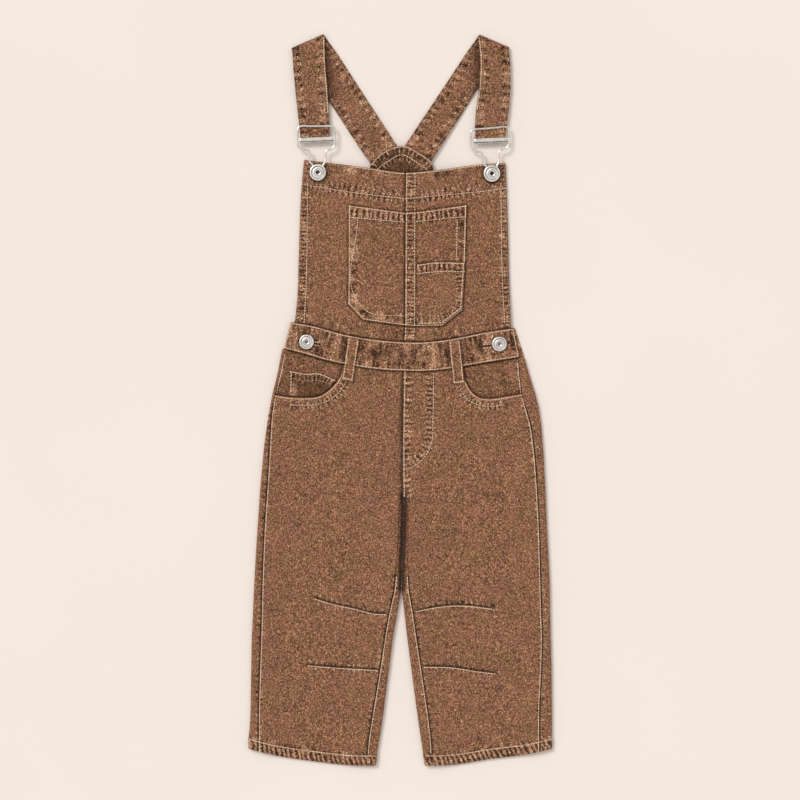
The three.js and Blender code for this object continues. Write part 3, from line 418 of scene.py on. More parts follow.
def shade(line: Line, reach: float, wear: float, dark: float, width: float) -> Seam:
    """Painted shade where a piece goes under another, with no groove."""
    return Seam(line, reach=reach, wear=wear, groove=0.0, dark=dark, dark_width=width)


def painted_shadow(line: Line, dark: float, width: float) -> Seam:
    """A line of painted shadow that leaves the cloth as it lies."""
    return Seam(line, wear=0.0, depth=0.0, groove=0.0, dark=dark, dark_width=width)


@dataclass(frozen=True)
class Crease:
    """A soft trough, with a lower ridge beside it."""

    line: Line
    width: float
    depth: float


@dataclass
class Relief:
    """What the seams, creases and wash do to one piece of cloth.

    Attributes:
        seams: Sewn lines on or beside the piece.
        creases: Soft troughs and ridges.
        seed: Start of the piece's own uneven pattern.
        wave: Height of the slow unevenness of the lying cloth.
        covered: Share from 0 to 1 of each place that another piece covers, or None.
    """

    seams: list[Seam]
    creases: list[Crease] = field(default_factory=list)
    seed: int = 1
    wave: float = 0.22
    covered: Height | None = None

    def marks(self, x: Array, y: Array) -> dict[str, Array]:
        """Lift in millimetres, the masks of the wash and the painted shade, at each place."""
        shape = x.shape
        x, y = x.ravel(), y.ravel()
        wide = soft_noise(x / 38 + 5, y / 46, self.seed) + 0.5 * soft_noise(x / 15, y / 21, self.seed + 1)
        lift = self.wave * wide
        wear = 0.14 * wide
        band = np.zeros(x.shape)
        dark, cord, second, run = (np.zeros(x.shape) for _ in range(4))
        for number, seam in enumerate(self.seams):
            d, s, side = seam.nearest(x, y)
            fade = np.exp(-((d / seam.reach) ** 2))
            place = s / seam.pitch + seam.slant * d * side
            key = self.seed * 31 + number
            ridge = 0.7 * soft_noise(place, d / (1.5 * seam.reach), key)
            ridge += 0.45 * soft_noise(2.1 * place + 9, d / seam.reach, key + 3)
            if seam.rope:
                phase = place + 0.3 * soft_noise(0.6 * place, d / 9, key + 5)
                strength = seam.rope * seam.wear * np.exp(-((d / seam.reach) ** 4))
                run = np.where(strength > cord, phase, run)
                second = np.maximum(second, np.minimum(cord, strength))
                cord = np.maximum(cord, strength)
                ridge = mix(ridge, 0.8 * np.sin(2 * math.pi * phase), seam.rope)
            lift += seam.depth * ridge * fade - seam.groove * np.exp(-((d / 0.8) ** 2))
            wear += seam.wear * (1 - 0.75 * seam.rope) * ridge * fade * WEAR_GAIN
            band = np.maximum(band, np.exp(-((d / (1.15 * seam.reach)) ** 4)) * seam.wear)
            # Painted shade beside the line
            dark = np.maximum(dark, np.minimum(seam.dark * np.exp(-((d / seam.dark_width) ** 2)), 1.0))
        for crease in self.creases:
            p = smoothed(crease.line, 4.0)
            d, s, side = Seam(crease.line).nearest(x, y)
            whole = lengths_along(p)[-1]
            ends = ease(0, 0.3, s / whole) * ease(0, 0.3, 1 - s / whole)
            trough = np.exp(-((d / crease.width) ** 2)) * ends
            ridge = np.exp(-(((d * side - 1.8 * crease.width) / crease.width) ** 2)) * ends
            lift += crease.depth * (0.55 * ridge - trough)
            wear += 0.22 * ridge - 0.2 * trough
        if self.covered is not None:
            lift = np.where(self.covered(x, y) > 0.5, np.minimum(lift, 0.0), lift)
        found = {"lift": lift, "wear": np.clip(wear, -1.4, 1.4), "band": np.clip(band, 0, 1), "dark": dark,
                 "cord": np.clip(cord - second, 0, 1.5), "run": run}
        return {name: value.reshape(shape) for name, value in found.items()}


def mesh_object(name: str, points: Array, faces: Array, material: Material) -> Object:
    """Object from points in millimetres and four-cornered faces.

    Args:
        name: Name of the object.
        points: Points, one to a row.
        faces: Numbers of four points, one face to a row.
        material: Its finish.

    Returns:
        The object, linked to the scene and riding on the garment's body.
    """
    mesh = bpy.data.meshes.new(name)
    mesh.vertices.add(len(points))
    mesh.vertices.foreach_set("co", (points * MM).astype(np.float32).ravel())
    mesh.loops.add(faces.size)
    mesh.loops.foreach_set("vertex_index", faces.astype(np.int32).ravel())
    mesh.polygons.add(len(faces))
    mesh.polygons.foreach_set("loop_start", np.arange(0, faces.size, 4, dtype=np.int32))
    mesh.update(calc_edges=True)
    mesh.validate()
    mesh.shade_smooth()
    mesh.materials.append(material)
    thing = bpy.data.objects.new(name, mesh)
    bpy.context.scene.collection.objects.link(thing)
    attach(thing, BODY)
    return thing


def outward(points: Array, faces: Array) -> Array:
    """The faces, turned so that they face out."""
    a, b, c = (points[faces[:, k]] for k in (0, 1, 2))
    d = points[faces[:, 3]]
    volume = np.einsum("ij,ij->", a, np.cross(b, c)) + np.einsum("ij,ij->", a, np.cross(c, d))
    return faces if volume > 0 else faces[:, ::-1]


def closed_faces(rows: int, cols: int) -> Array:
    """Faces of a closed sheet whose upper grid comes first and lower grid second."""
    up = np.arange(rows * cols).reshape(rows, cols)
    down = up + rows * cols

    def quads(a: Array, b: Array, c: Array, d: Array) -> Array:
        """Faces from four arrays of corners."""
        return np.stack([a.ravel(), b.ravel(), c.ravel(), d.ravel()], axis=1)

    return np.concatenate(
        [
            quads(up[:-1, :-1], up[1:, :-1], up[1:, 1:], up[:-1, 1:]),
            quads(down[:-1, :-1], down[:-1, 1:], down[1:, 1:], down[1:, :-1]),
            quads(up[:-1, 0], down[:-1, 0], down[1:, 0], up[1:, 0]),
            quads(up[1:, -1], down[1:, -1], down[:-1, -1], up[:-1, -1]),
            quads(up[0, 1:], down[0, 1:], down[0, :-1], up[0, :-1]),
            quads(up[-1, :-1], down[-1, :-1], down[-1, 1:], up[-1, 1:]),
        ]
    )


@dataclass
class Cloth:
    """One piece of cloth as a closed shell, with sizes and supports of its cut that the script keeps.

    Attributes:
        name: Name of the piece.
        node: The solid that it stands for.
        slot: Material slot of the finish, passed on to the stitching but not used.
        flat: Width and length of the cut in metres; not used.
        share: Part of that rectangle that the cut fills; not used.
        held: How the cloth lies; not used.
        rests_on: Solids that it lies on; not used.
        thing: The shell, once it is sewn.
    """

    name: str
    node: str
    slot: str
    flat: tuple[float, float]
    share: float = 1.0
    held: str = "laid"
    rests_on: tuple[str, ...] = ()
    thing: Object | None = None

    def sew(self, upper: Array, lower: Array, marks: dict[str, Array], material: Material) -> None:
        """Args:
            upper: Points of the upper face in rows and columns.
            lower: Points of the lower face, the same number.
            marks: Masks at each upper point, by name.
            material: Finish of the cloth.
        """
        rows, cols = upper.shape[:2]
        points = np.concatenate([upper.reshape(-1, 3), lower.reshape(-1, 3)])
        faces = outward(points, closed_faces(rows, cols))
        thing = mesh_object(self.name, points, faces, material)
        for name in MARKS:
            layer = thing.data.attributes.new(name, "FLOAT", "POINT")
            values = np.concatenate([marks[name].ravel(), marks[name].ravel()])
            layer.data.foreach_set("value", values.astype(np.float32))
        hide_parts(self.node)
        self.thing = thing
        LOG.info("%s: %d faces", self.name, len(faces))

    def lay(self, grid: Array, us: Array, vs: Array, base: Height, thick: Height, relief: Relief,
            material: Material, rim: float = 0.5) -> None:
        """Builds the shell of a panel that lies flat.

        Args:
            grid: Places in rows by columns by x and y.
            us: Shares across, one to a column.
            vs: Shares down, one to a row.
            base: Height of the underside at a place.
            thick: Thickness at a place.
            relief: Seams and creases of the piece.
            material: Finish of the cloth.
            rim: Part of the thickness by which the upper face rounds off at its edges.
        """
        x, y = grid[..., 0], grid[..., 1]
        width = lengths_along(grid[len(grid) // 2])[-1]
        height = lengths_along(grid[:, grid.shape[1] // 2])[-1]
        inside = np.minimum(
            np.minimum(us, 1 - us)[None, :] * width, np.minimum(vs, 1 - vs)[:, None] * height
        )
        rounding = (1 - np.clip(inside / EDGE_ROUND, 0, 1)) ** 2
        marks = relief.marks(x, y)
        low = base(x, y)
        body = thick(x, y)
        top = low + body - rounding * rim * body + marks["lift"] * np.clip(inside / EDGE_ROUND, 0, 1)
        lower = np.stack([x, y, low + 0.12 * rounding * body], axis=-1)
        upper = np.stack([x, y, np.maximum(top, low + 0.3)], axis=-1)
        self.sew(upper, lower, marks, material)

    def stitch(self, name: str, runs: "list[Run]", finishes: "Finishes") -> None:
        Stitching(name, runs, self.slot).build(self.thing, finishes)


def paint(red: int, green: int, blue: int) -> tuple[float, float, float, float]:
    """A colour seen on a screen as the linear colour that the shader takes."""
    def linear(part: int) -> float:
        """One part of the colour."""
        c = part / 255
        return c / 12.92 if c <= 0.04045 else ((c + 0.055) / 1.055) ** 2.4

    return (linear(red), linear(green), linear(blue), 1.0)


class Mixing(Enum):
    """Ways of laying one colour on another."""

    OVER = "MIX"
    TIMES = "MULTIPLY"


class Nodes:
    """A short way of writing a node tree."""

    def __init__(self, tree: NodeTree) -> None:
        """Takes the tree to fill."""
        self.tree = tree

    def add(self, kind: str, inputs: dict | None = None, **settings: object) -> Node:
        """Adds a node.

        Args:
            kind: Type of the node, without its leading words.
            inputs: Values or sockets for its inputs, by name or number.
            settings: Values of its own settings.

        Returns:
            The node.
        """
        node = self.tree.nodes.new("ShaderNode" + kind)
        for name, value in settings.items():
            setattr(node, name, value)
        return self.fill(node, inputs or {})

    def link(self, source: NodeSocket, target: NodeSocket) -> None:
        """Feeds one socket into another."""
        self.tree.links.new(source, target)

    def fill(self, node: Node, inputs: dict) -> Node:
        """Sets inputs of a node to values, or links them to sockets."""
        for name, value in inputs.items():
            if isinstance(value, NodeSocket):
                self.tree.links.new(value, node.inputs[name])
            else:
                node.inputs[name].default_value = value
        return node

    def math(self, operation: str, a: object, b: object = 0.0) -> NodeSocket:
        """Result of a sum on two values."""
        return self.add("Math", {0: a, 1: b}, operation=operation).outputs[0]

    def plus(self, a: object, b: object) -> NodeSocket:
        """One value added to another."""
        return self.math("ADD", a, b)

    def minus(self, a: object, b: object) -> NodeSocket:
        """One value taken from another."""
        return self.math("SUBTRACT", a, b)

    def times(self, a: object, b: object) -> NodeSocket:
        """One value times another."""
        return self.math("MULTIPLY", a, b)

    def ramp(
        self, value: object, low: float, high: float, to_low: float = 0.0, to_high: float = 1.0
    ) -> NodeSocket:
        """Smooth step of a value between two limits."""
        given = {"Value": value, "From Min": low, "From Max": high, "To Min": to_low, "To Max": to_high}
        return self.add("MapRange", given, interpolation_type="SMOOTHSTEP").outputs[0]

    def colour(self, share: object, a: object, b: object, how: Mixing = Mixing.OVER) -> NodeSocket:
        """Colour a with colour b laid on it by a share."""
        node = self.add("Mix", {0: share, 6: a, 7: b}, data_type="RGBA", blend_type=how.value)
        return node.outputs[2]

    def noise(self, place: object, cells: float, detail: float = 2.0, twist: float = 0.0) -> NodeSocket:
        """Noise of so many cells to a metre."""
        given = {"Vector": place, "Scale": cells, "Detail": detail, "Roughness": 0.55, "Distortion": twist}
        return self.add("TexNoise", given).outputs[0]

    def stretched(self, place: object, x: float, y: float, z: float = 1.0, turn: float = 0.0) -> NodeSocket:
        """Place scaled along each direction and turned about the upright."""
        return self.add(
            "Mapping", {"Vector": place, "Scale": (x, y, z), "Rotation": (0, 0, turn)}
        ).outputs[0]


def new_group(
    name: str, inputs: dict[str, tuple[str, object]], outputs: dict[str, str]
) -> tuple[Nodes, Node, Node]:
    """An empty node group with named sockets.

    Args:
        name: Name of the group.
        inputs: Kind and usual value of each input.
        outputs: Kind of each output.

    Returns:
        Its writer, its input node and its output node.
    """
    tree = bpy.data.node_groups.new(name, "ShaderNodeTree")
    for socket, (kind, usual) in inputs.items():
        made = tree.interface.new_socket(socket, in_out="INPUT", socket_type="NodeSocket" + kind)
        if usual is not None:
            made.default_value = usual
    for socket, kind in outputs.items():
        tree.interface.new_socket(socket, in_out="OUTPUT", socket_type="NodeSocket" + kind)
    nodes = Nodes(tree)
    return nodes, tree.nodes.new("NodeGroupInput"), tree.nodes.new("NodeGroupOutput")


def twill_group() -> NodeTree:
    """Twill weave: fine slanted ribs, uneven upright yarns and speckled dye."""
    nodes, given, made = new_group(
        "twill_weave",
        {"Place": ("Vector", None), "Pitch": ("Float", 0.0011), "Slub": ("Float", 0.5)},
        {"Tone": "Float", "Height": "Float"},
    )
    place = given.outputs["Place"]
    count = nodes.math("DIVIDE", FULL_TURN, given.outputs["Pitch"])
    split = nodes.add("SeparateXYZ", {0: place})
    slanted = nodes.plus(split.outputs[0], nodes.times(split.outputs[1], 0.62))
    shake = nodes.noise(place, 900.0, 1.0)
    turned = nodes.plus(nodes.times(slanted, count), nodes.times(shake, 5.0))
    rib = nodes.times(nodes.math("SINE", turned), 0.5)
    yarn = nodes.noise(nodes.stretched(place, 1.0, 0.42), 1180.0, 1.0, 0.3)
    across = nodes.noise(nodes.stretched(place, 0.42, 1.0), 1180.0, 1.0, 0.3)
    speck = nodes.noise(place, 1100.0, 1.0, 0.5)
    mixed = nodes.plus(nodes.times(yarn, given.outputs["Slub"]), nodes.times(speck, 0.34))
    mixed = nodes.plus(mixed, nodes.times(across, 0.44))
    mixed = nodes.minus(mixed, nodes.plus(nodes.times(given.outputs["Slub"], 0.5), 0.39))
    plain = nodes.plus(nodes.times(mixed, 5.4), nodes.times(rib, 0.12))
    flecks = nodes.times(nodes.times(plain, plain), 0.55)
    tone = nodes.minus(nodes.plus(plain, flecks), 0.13)
    nodes.link(tone, made.inputs["Tone"])
    nodes.link(nodes.plus(nodes.times(rib, 0.5), mixed), made.inputs["Height"])
    return nodes.tree


def wash_group() -> NodeTree:
    """Stone wash: slow drifts of the dye from reddish to olive and from deep to faded."""
    nodes, given, made = new_group(
        "stone_wash", {
            "Place": ("Vector", None), "Patch": ("Float", 26.0)
        }, {"Olive": "Float", "Fade": "Float"},
    )
    place = given.outputs["Place"]
    cells = nodes.math("DIVIDE", 1000.0, given.outputs["Patch"])
    wide = nodes.add("TexNoise", {"Vector": place, "Scale": cells, "Detail": 3.0, "Roughness": 0.6})
    close = nodes.noise(nodes.stretched(place, 1.0, 0.7), 150.0, 3.0, 0.4)
    olive = nodes.plus(nodes.times(wide.outputs[0], 0.6), nodes.times(close, 0.4))
    moved = nodes.add("VectorMath", {0: place, 1: (0.31, 0.17, 0.0)}).outputs[0]
    fade = nodes.plus(
        nodes.times(nodes.noise(moved, 60.0, 3.0), 0.5), nodes.times(nodes.noise(moved, 210.0, 2.0), 0.5)
    )
    nodes.link(nodes.ramp(olive, 0.4, 0.62), made.inputs["Olive"])
    nodes.link(nodes.minus(fade, 0.5), made.inputs["Fade"])
    return nodes.tree


def seam_group() -> NodeTree:
    """Wear beside seams: pale ridges, dark troughs and worm-like mottling, with the painted shade beside
    seams joined to the deep mask.
    """
    nodes, given, made = new_group(
        "seam_wear",
        {"Place": ("Vector", None), "Wear": ("Float", 0.0), "Band": ("Float", 0.0), "Dark": ("Float", 0.0),
         "Cord": ("Float", 0.0), "Run": ("Float", 0.0)},
        {"Pale": "Float", "Deep": "Float"},
    )
    place = given.outputs["Place"]
    worm = nodes.noise(place, 360.0, 2.0, 1.4)
    small = nodes.noise(place, 700.0, 1.0, 0.5)
    mottle = nodes.plus(nodes.times(worm, 0.62), nodes.times(small, 0.38))
    mottle = nodes.times(nodes.minus(mottle, 0.5), nodes.times(given.outputs["Band"], 6.0))
    total = nodes.plus(nodes.times(given.outputs["Wear"], 0.75), mottle)
    shake = nodes.times(nodes.minus(nodes.noise(place, 260.0, 1.5), 0.5), 7.5)
    turned = nodes.plus(nodes.times(given.outputs["Run"], FULL_TURN), shake)
    uneven = nodes.ramp(nodes.noise(place, 210.0, 1.0), 0.34, 0.62, 0.1, 1.35)
    cords = nodes.times(nodes.math("SINE", turned), uneven)
    total = nodes.plus(total, nodes.times(cords, nodes.times(given.outputs["Cord"], 1.15)))
    nodes.link(nodes.ramp(total, 0.08, 1.0), made.inputs["Pale"])
    low = nodes.ramp(nodes.times(total, -1.0), 0.08, 1.0)
    # The deep mask holds the dye left in troughs and the painted shade beside seams
    nodes.link(nodes.math("MAXIMUM", low, given.outputs["Dark"]), made.inputs["Deep"])
    return nodes.tree


def grain_group() -> NodeTree:
    """Fine brushing and small dents of plated metal."""
    nodes, given, made = new_group(
        "plated_grain", {
            "Place": ("Vector", None), "Fineness": ("Float", 900.0)
        }, {"Tone": "Float", "Height": "Float"},
    )
    place = given.outputs["Place"]
    fine = nodes.add("TexNoise", {"Vector": place, "Scale": given.outputs["Fineness"], "Detail": 3.0})
    wide = nodes.noise(place, 180.0, 2.0)
    nodes.link(nodes.plus(nodes.times(fine.outputs[0], 0.5), nodes.times(wide, 0.5)), made.inputs["Tone"])
    nodes.link(fine.outputs[0], made.inputs["Height"])
    return nodes.tree


GROUPS: dict[str, Callable[[], NodeTree]] = {
    "twill_weave": twill_group, "stone_wash": wash_group,
    "seam_wear": seam_group, "plated_grain": grain_group,
}


def placed_group(nodes: Nodes, name: str, inputs: dict[str, object]) -> Node:
    """Places a shared group in a material, and builds it the first time.

    Args:
        nodes: Writer of the material's tree.
        name: Name of the group.
        inputs: Values or sockets for its inputs.

    Returns:
        The group's node.
    """
    tree = bpy.data.node_groups.get(name) or GROUPS[name]()
    node = nodes.tree.nodes.new("ShaderNodeGroup")
    node.node_tree = tree
    return nodes.fill(node, inputs)


def new_material(name: str) -> tuple[Material, Nodes, Node]:
    """A material with its writer and its shader."""
    material = bpy.data.materials.new(name)
    material.use_nodes = True
    nodes = Nodes(material.node_tree)
    return material, nodes, material.node_tree.nodes["Principled BSDF"]


@dataclass(frozen=True)
class DenimFinish:
    """Washed denim: its brown, what the wash leaves at seams, the painted shade beside them and how strong
    the weave shows.
    """

    name: str
    red_brown: tuple[int, int, int] = (144, 99, 74)
    olive_brown: tuple[int, int, int] = (138, 99, 69)
    pale: tuple[int, int, int] = (192, 150, 120)
    # Colour of the dye left in troughs and of the painted shade beside seams
    deep: tuple[int, int, int] = (50, 26, 13)
    weave: float = 0.57
    fade: float = 0.4
    pale_share: float = 0.8
    deep_share: float = 0.9

    def build(self) -> Material:
        """The finish as a material."""
        material, nodes, shader = new_material(self.name)
        place = nodes.add("TexCoord").outputs["Object"]
        twill = placed_group(nodes, "twill_weave", {"Place": place, "Pitch": 0.0011, "Slub": 0.62})
        wash = placed_group(nodes, "stone_wash", {"Place": place, "Patch": 26.0})
        marks = {name.title(): nodes.add("Attribute", attribute_name=name).outputs["Fac"] for name in MARKS}
        seam = placed_group(nodes, "seam_wear", {"Place": place, **marks})
        colour = nodes.colour(wash.outputs["Olive"], paint(*self.red_brown), paint(*self.olive_brown))
        pale = nodes.times(seam.outputs["Pale"], self.pale_share)
        colour = nodes.colour(pale, colour, paint(*self.pale))
        # Dye left in troughs and painted shade, in the deep colour
        deep = nodes.times(seam.outputs["Deep"], self.deep_share)
        colour = nodes.colour(deep, colour, paint(*self.deep))
        tone = nodes.times(twill.outputs["Tone"], self.weave * 2)
        tone = nodes.plus(tone, nodes.times(wash.outputs["Fade"], self.fade * 2))
        light = nodes.math("MAXIMUM", nodes.plus(tone, 1.0), 0.25)
        shade = nodes.add("CombineColor", {0: light, 1: light, 2: light}).outputs[0]
        colour = nodes.colour(1.0, colour, shade, Mixing.TIMES)
        nodes.link(colour, shader.inputs["Base Color"])
        nodes.link(nodes.ramp(twill.outputs["Tone"], -0.5, 0.5, 0.95, 0.82), shader.inputs["Roughness"])
        bump = nodes.add("Bump", {"Strength": 0.35, "Distance": 0.0004, "Height": twill.outputs["Height"]})
        nodes.link(bump.outputs[0], shader.inputs["Normal"])
        shader.inputs["Specular IOR Level"].default_value = 0.25
        shader.inputs["Sheen Weight"].default_value = 0.08
        shader.inputs["Sheen Roughness"].default_value = 0.5
        return material


@dataclass(frozen=True)
class ThreadFinish:
    """Sewing thread with its twist and uneven fading."""

    name: str
    light: tuple[int, int, int]
    dim: tuple[int, int, int]

    def build(self) -> Material:
        """The finish as a material."""
        material, nodes, shader = new_material(self.name)
        place = nodes.add("TexCoord").outputs["Object"]
        twist = placed_group(nodes, "twill_weave", {"Place": place, "Pitch": 0.0007, "Slub": 0.4})
        drift = nodes.noise(place, 140.0, 3.0)
        share = nodes.ramp(nodes.plus(drift, nodes.times(twist.outputs["Tone"], 0.15)), 0.38, 0.64)
        nodes.link(nodes.colour(share, paint(*self.light), paint(*self.dim)), shader.inputs["Base Color"])
        bump = nodes.add("Bump", {"Strength": 0.4, "Distance": 0.0002, "Height": twist.outputs["Height"]})
        nodes.link(bump.outputs[0], shader.inputs["Normal"])
        shader.inputs["Roughness"].default_value = 0.6
        shader.inputs["Sheen Weight"].default_value = 0.1
        return material


@dataclass(frozen=True)
class MetalFinish:
    """Nickel plate, polished or dulled."""

    name: str
    bright: tuple[int, int, int]
    dull: tuple[int, int, int]
    roughness: float
    metallic: float = 1.0

    def build(self) -> Material:
        """The finish as a material."""
        material, nodes, shader = new_material(self.name)
        place = nodes.add("TexCoord").outputs["Object"]
        grain = placed_group(nodes, "plated_grain", {"Place": place, "Fineness": 900.0})
        share = nodes.ramp(grain.outputs["Tone"], 0.35, 0.65)
        nodes.link(nodes.colour(share, paint(*self.bright), paint(*self.dull)), shader.inputs["Base Color"])
        rough = nodes.ramp(grain.outputs["Tone"], 0.3, 0.7, self.roughness - 0.05, self.roughness + 0.1)
        nodes.link(rough, shader.inputs["Roughness"])
        bump = nodes.add("Bump", {"Strength": 0.12, "Distance": 0.0001, "Height": grain.outputs["Height"]})
        nodes.link(bump.outputs[0], shader.inputs["Normal"])
        shader.inputs["Metallic"].default_value = self.metallic
        return material


@dataclass
class Finishes:
    """Every finish of the garment, built once."""

    denim: Material = field(init=False)
    shaded: Material = field(init=False)
    deep: Material = field(init=False)
    thread: Material = field(init=False)
    tonal: Material = field(init=False)
    hole: Material = field(init=False)
    nickel: Material = field(init=False)
    cap: Material = field(init=False)
    painted_shade_metal: Material = field(init=False)
    dull: Material = field(init=False)

    def __post_init__(self) -> None:
        """Builds the materials."""
        self.denim = DenimFinish("washed_denim").build()
        self.shaded = DenimFinish(
            "shaded_denim", red_brown=(138, 94, 70), olive_brown=(124, 90, 60), pale=(178, 138, 110),
            fade=0.7,
        ).build()
        self.deep = DenimFinish(
            "deep_denim", red_brown=(106, 70, 48), olive_brown=(92, 66, 40), pale=(176, 134, 104), fade=0.8,
        ).build()
        self.thread = ThreadFinish("pale_thread", (240, 208, 176), (208, 166, 130)).build()
        self.tonal = ThreadFinish("tan_thread", (196, 152, 118), (158, 114, 84)).build()
        # Dark bumps between stitches: painted shade of the needle dimples
        self.hole = ThreadFinish("needle_dimple_shade", (70, 42, 26), (48, 27, 16)).build()
        self.nickel = MetalFinish("nickel_wire", (250, 246, 240), (212, 206, 198), 0.22, 0.75).build()
        self.cap = MetalFinish("nickel_cap", (252, 248, 243), (214, 206, 198), 0.28, 0.6).build()
        # Near-black metal: painted shade in the button holes and along the buckle bars
        self.painted_shade_metal = MetalFinish("metal_painted_shade", (84, 74, 66), (50, 42, 38), 0.45).build()
        self.dull = MetalFinish("nickel_dull", (150, 144, 140), (104, 98, 94), 0.4, 0.6).build()


class Stitch(Enum):
    """Kinds of stitching, by thread and spacing."""

    EDGE = "edge"
    ROW = "row"
    TONAL = "tonal"
    BAR = "bar"


@dataclass(frozen=True)
class StitchSize:
    """Sizes of one kind of stitch in millimetres."""

    length: float
    pitch: float
    width: float
    height: float
    thread: int
    dimple: float


# The third stitch finish is painted shade of the needle dimples
PALE, TAN, DIMPLE_SHADE = range(3)  # finishes of a stitch, in the order of its material slots
STITCH_SIZES = {
    Stitch.EDGE: StitchSize(2.75, 2.9, 1.2, 0.7, PALE, 0.0),
    Stitch.ROW: StitchSize(2.4, 2.9, 1.1, 0.65, PALE, 0.5),
    Stitch.TONAL: StitchSize(1.9, 2.8, 1.05, 0.5, TAN, 0.85),
    Stitch.BAR: StitchSize(2.6, 1.5, 0.7, 0.5, TAN, 0.0),
}


@dataclass(frozen=True)
class Run:
    """Stitches along a line, moved to its left by an offset."""

    line: Line
    kind: Stitch = Stitch.EDGE
    offset: float = 0.0

    def places(self, seed: int) -> tuple[Array, Array]:
        """Middle and direction of each stitch."""
        size = STITCH_SIZES[self.kind]
        p = smoothed(self.line, 1.0)
        way = np.gradient(p, axis=0)
        way /= np.maximum(np.hypot(way[:, 0], way[:, 1]), 1e-9)[:, None]
        p = p + self.offset * np.stack([-way[:, 1], way[:, 0]], axis=1)
        whole = lengths_along(p)[-1]
        count = max(1, int(whole / size.pitch))
        at = (np.arange(count) + 0.5) / count
        key = np.arange(count)
        at = at + 0.05 * (scatter(key, key, seed=seed) - 0.5) / count
        centres = at_shares(p, at)
        ways = np.stack([np.interp(at * whole, lengths_along(p), way[:, k]) for k in (0, 1)], axis=1)
        if self.kind is Stitch.BAR:
            ways = np.stack([-ways[:, 1], ways[:, 0]], axis=1)
        turn = 0.1 * (scatter(key + 7, key, seed=seed + 1) - 0.5)
        c, s = np.cos(turn), np.sin(turn)
        return centres, np.stack([ways[:, 0] * c - ways[:, 1] * s, ways[:, 0] * s + ways[:, 1] * c], axis=1)


# Rings of one stitch. Columns: share of its length, share of its width, how far it bows up or down
RING_SHARES = ((-0.5, 0.45, -0.5), (-0.3, 1.0, 0.12), (0.3, 1.0, 0.12), (0.5, 0.45, -0.5))
RING_SIDES = 6
RAY_START = 0.1
DIMPLE_WIDTH = 0.85
DIMPLE_HEIGHT = 0.28


def tops_under(cloth: BVHTree, places: Array) -> Array:
    """Height in millimetres of the cloth under each place, or nan beside it."""
    hits = [cloth.ray_cast((x * MM, y * MM, RAY_START), (0, 0, -1))[0] for x, y in places]
    return np.array([np.nan if hit is None else hit.z / MM for hit in hits])


@dataclass
class Stitching:
    """All the stitches of one piece, as one mesh."""

    name: str
    runs: list[Run]
    slot: str

    def build(self, host: Object, finishes: Finishes) -> Object:
        """Lays the stitches on the cloth that they are sewn through.

        Args:
            host: Piece that the stitches lie on.
            finishes: Finishes of the garment.

        Returns:
            The stitches as one piece.
        """
        points: list[Array] = []
        faces: list[Array] = []
        looks: list[Array] = []
        total = 0
        cloth = BVHTree.FromObject(host, bpy.context.evaluated_depsgraph_get())
        for number, run in enumerate(self.runs):
            size = STITCH_SIZES[run.kind]
            centres, ways = run.places(number + 11)
            tops = tops_under(cloth, centres)
            good = ~np.isnan(tops)
            sets = [(centres, ways, size.length, size.width, size.height, size.thread)]
            # Painted shade of the needle dimples between stitches
            if size.dimple:
                between_them = centres + ways * size.pitch / 2
                sets.append((between_them, ways, size.dimple, DIMPLE_WIDTH, DIMPLE_HEIGHT, DIMPLE_SHADE))
            for middle, way, length, width, height, look in sets:
                made, joined = self.capsules(middle[good], way[good], tops[good], length, width, height)
                points.append(made)
                faces.append(joined + total)
                looks.append(np.full(len(joined), look, np.int32))
                total += len(made)
        thing = mesh_object(self.name, np.concatenate(points), np.concatenate(faces), finishes.thread)
        for look in (finishes.tonal, finishes.hole):
            thing.data.materials.append(look)
        thing.data.polygons.foreach_set("material_index", np.concatenate(looks))
        LOG.info("%s: %d stitch faces", self.name, sum(len(f) for f in faces))
        return thing

    @staticmethod
    def capsules(
        middle: Array, way: Array, tops: Array, length: float, width: float, height: float
    ) -> tuple[Array, Array]:
        """Points and faces of one little bowed capsule at each place.

        Args:
            middle: Middle of each stitch.
            way: Its direction.
            tops: Height of the cloth there.
            length: Length of a stitch.
            width: Width of the thread.
            height: Height of the thread.

        Returns:
            The points and the faces.
        """
        across = np.stack([-way[:, 1], way[:, 0]], axis=1)
        rings = []
        for place, scale, drop in RING_SHARES:
            for k in range(RING_SIDES):
                angle = 2 * math.pi * (k + 0.5) / RING_SIDES
                flat = middle + way * place * length + across * (math.cos(angle) * scale * width / 2)
                up = tops + height * (0.18 + drop * 0.4 + math.sin(angle) * scale * 0.5)
                rings.append(np.column_stack([flat, up]))
        points = np.stack(rings, axis=1).reshape(-1, 3)
        one = []
        for ring in range(len(RING_SHARES) - 1):
            for k in range(RING_SIDES):
                a, b = ring * RING_SIDES + k, ring * RING_SIDES + (k + 1) % RING_SIDES
                one.append([a, b, b + RING_SIDES, a + RING_SIDES])
        last = (len(RING_SHARES) - 1) * RING_SIDES
        one += [
            [3, 2, 1, 0], [5, 4, 3, 0], [last, last + 1, last + 2, last + 3],
            [last, last + 3, last + 4, last + 5]
        ]
        template = outward(points[: len(rings)], np.asarray(one)) if len(points) else np.asarray(one)
        count = len(middle)
        faces = (template[None] + (np.arange(count) * len(rings))[:, None, None]).reshape(-1, 4)
        return points, faces


# Rows of a leg front. Columns: y at the side seam, y at the inner edge
FRONT_ROWS = [(-4.6, 20.1), (-6, 18.7), (-20, 0), (-38, -28), (-60, -60), (-355, -355)]
CROTCH = -104
INSEAM_TOP = -186  # above this the inner seams turn down between the legs
BETWEEN_LEGS: Line = [(2.7, -98), (3.5, -112), (2.9, -138.9), (1.7, -168), (1.1, -200)]
EDGE_RISE = 30
FLY_STITCH: Line = [(34.9, 27.8), (34.3, -21.5), (32.2, -47.8), (24.9, -61.4), (12.0, -71.4), (2.8, -74.0)]


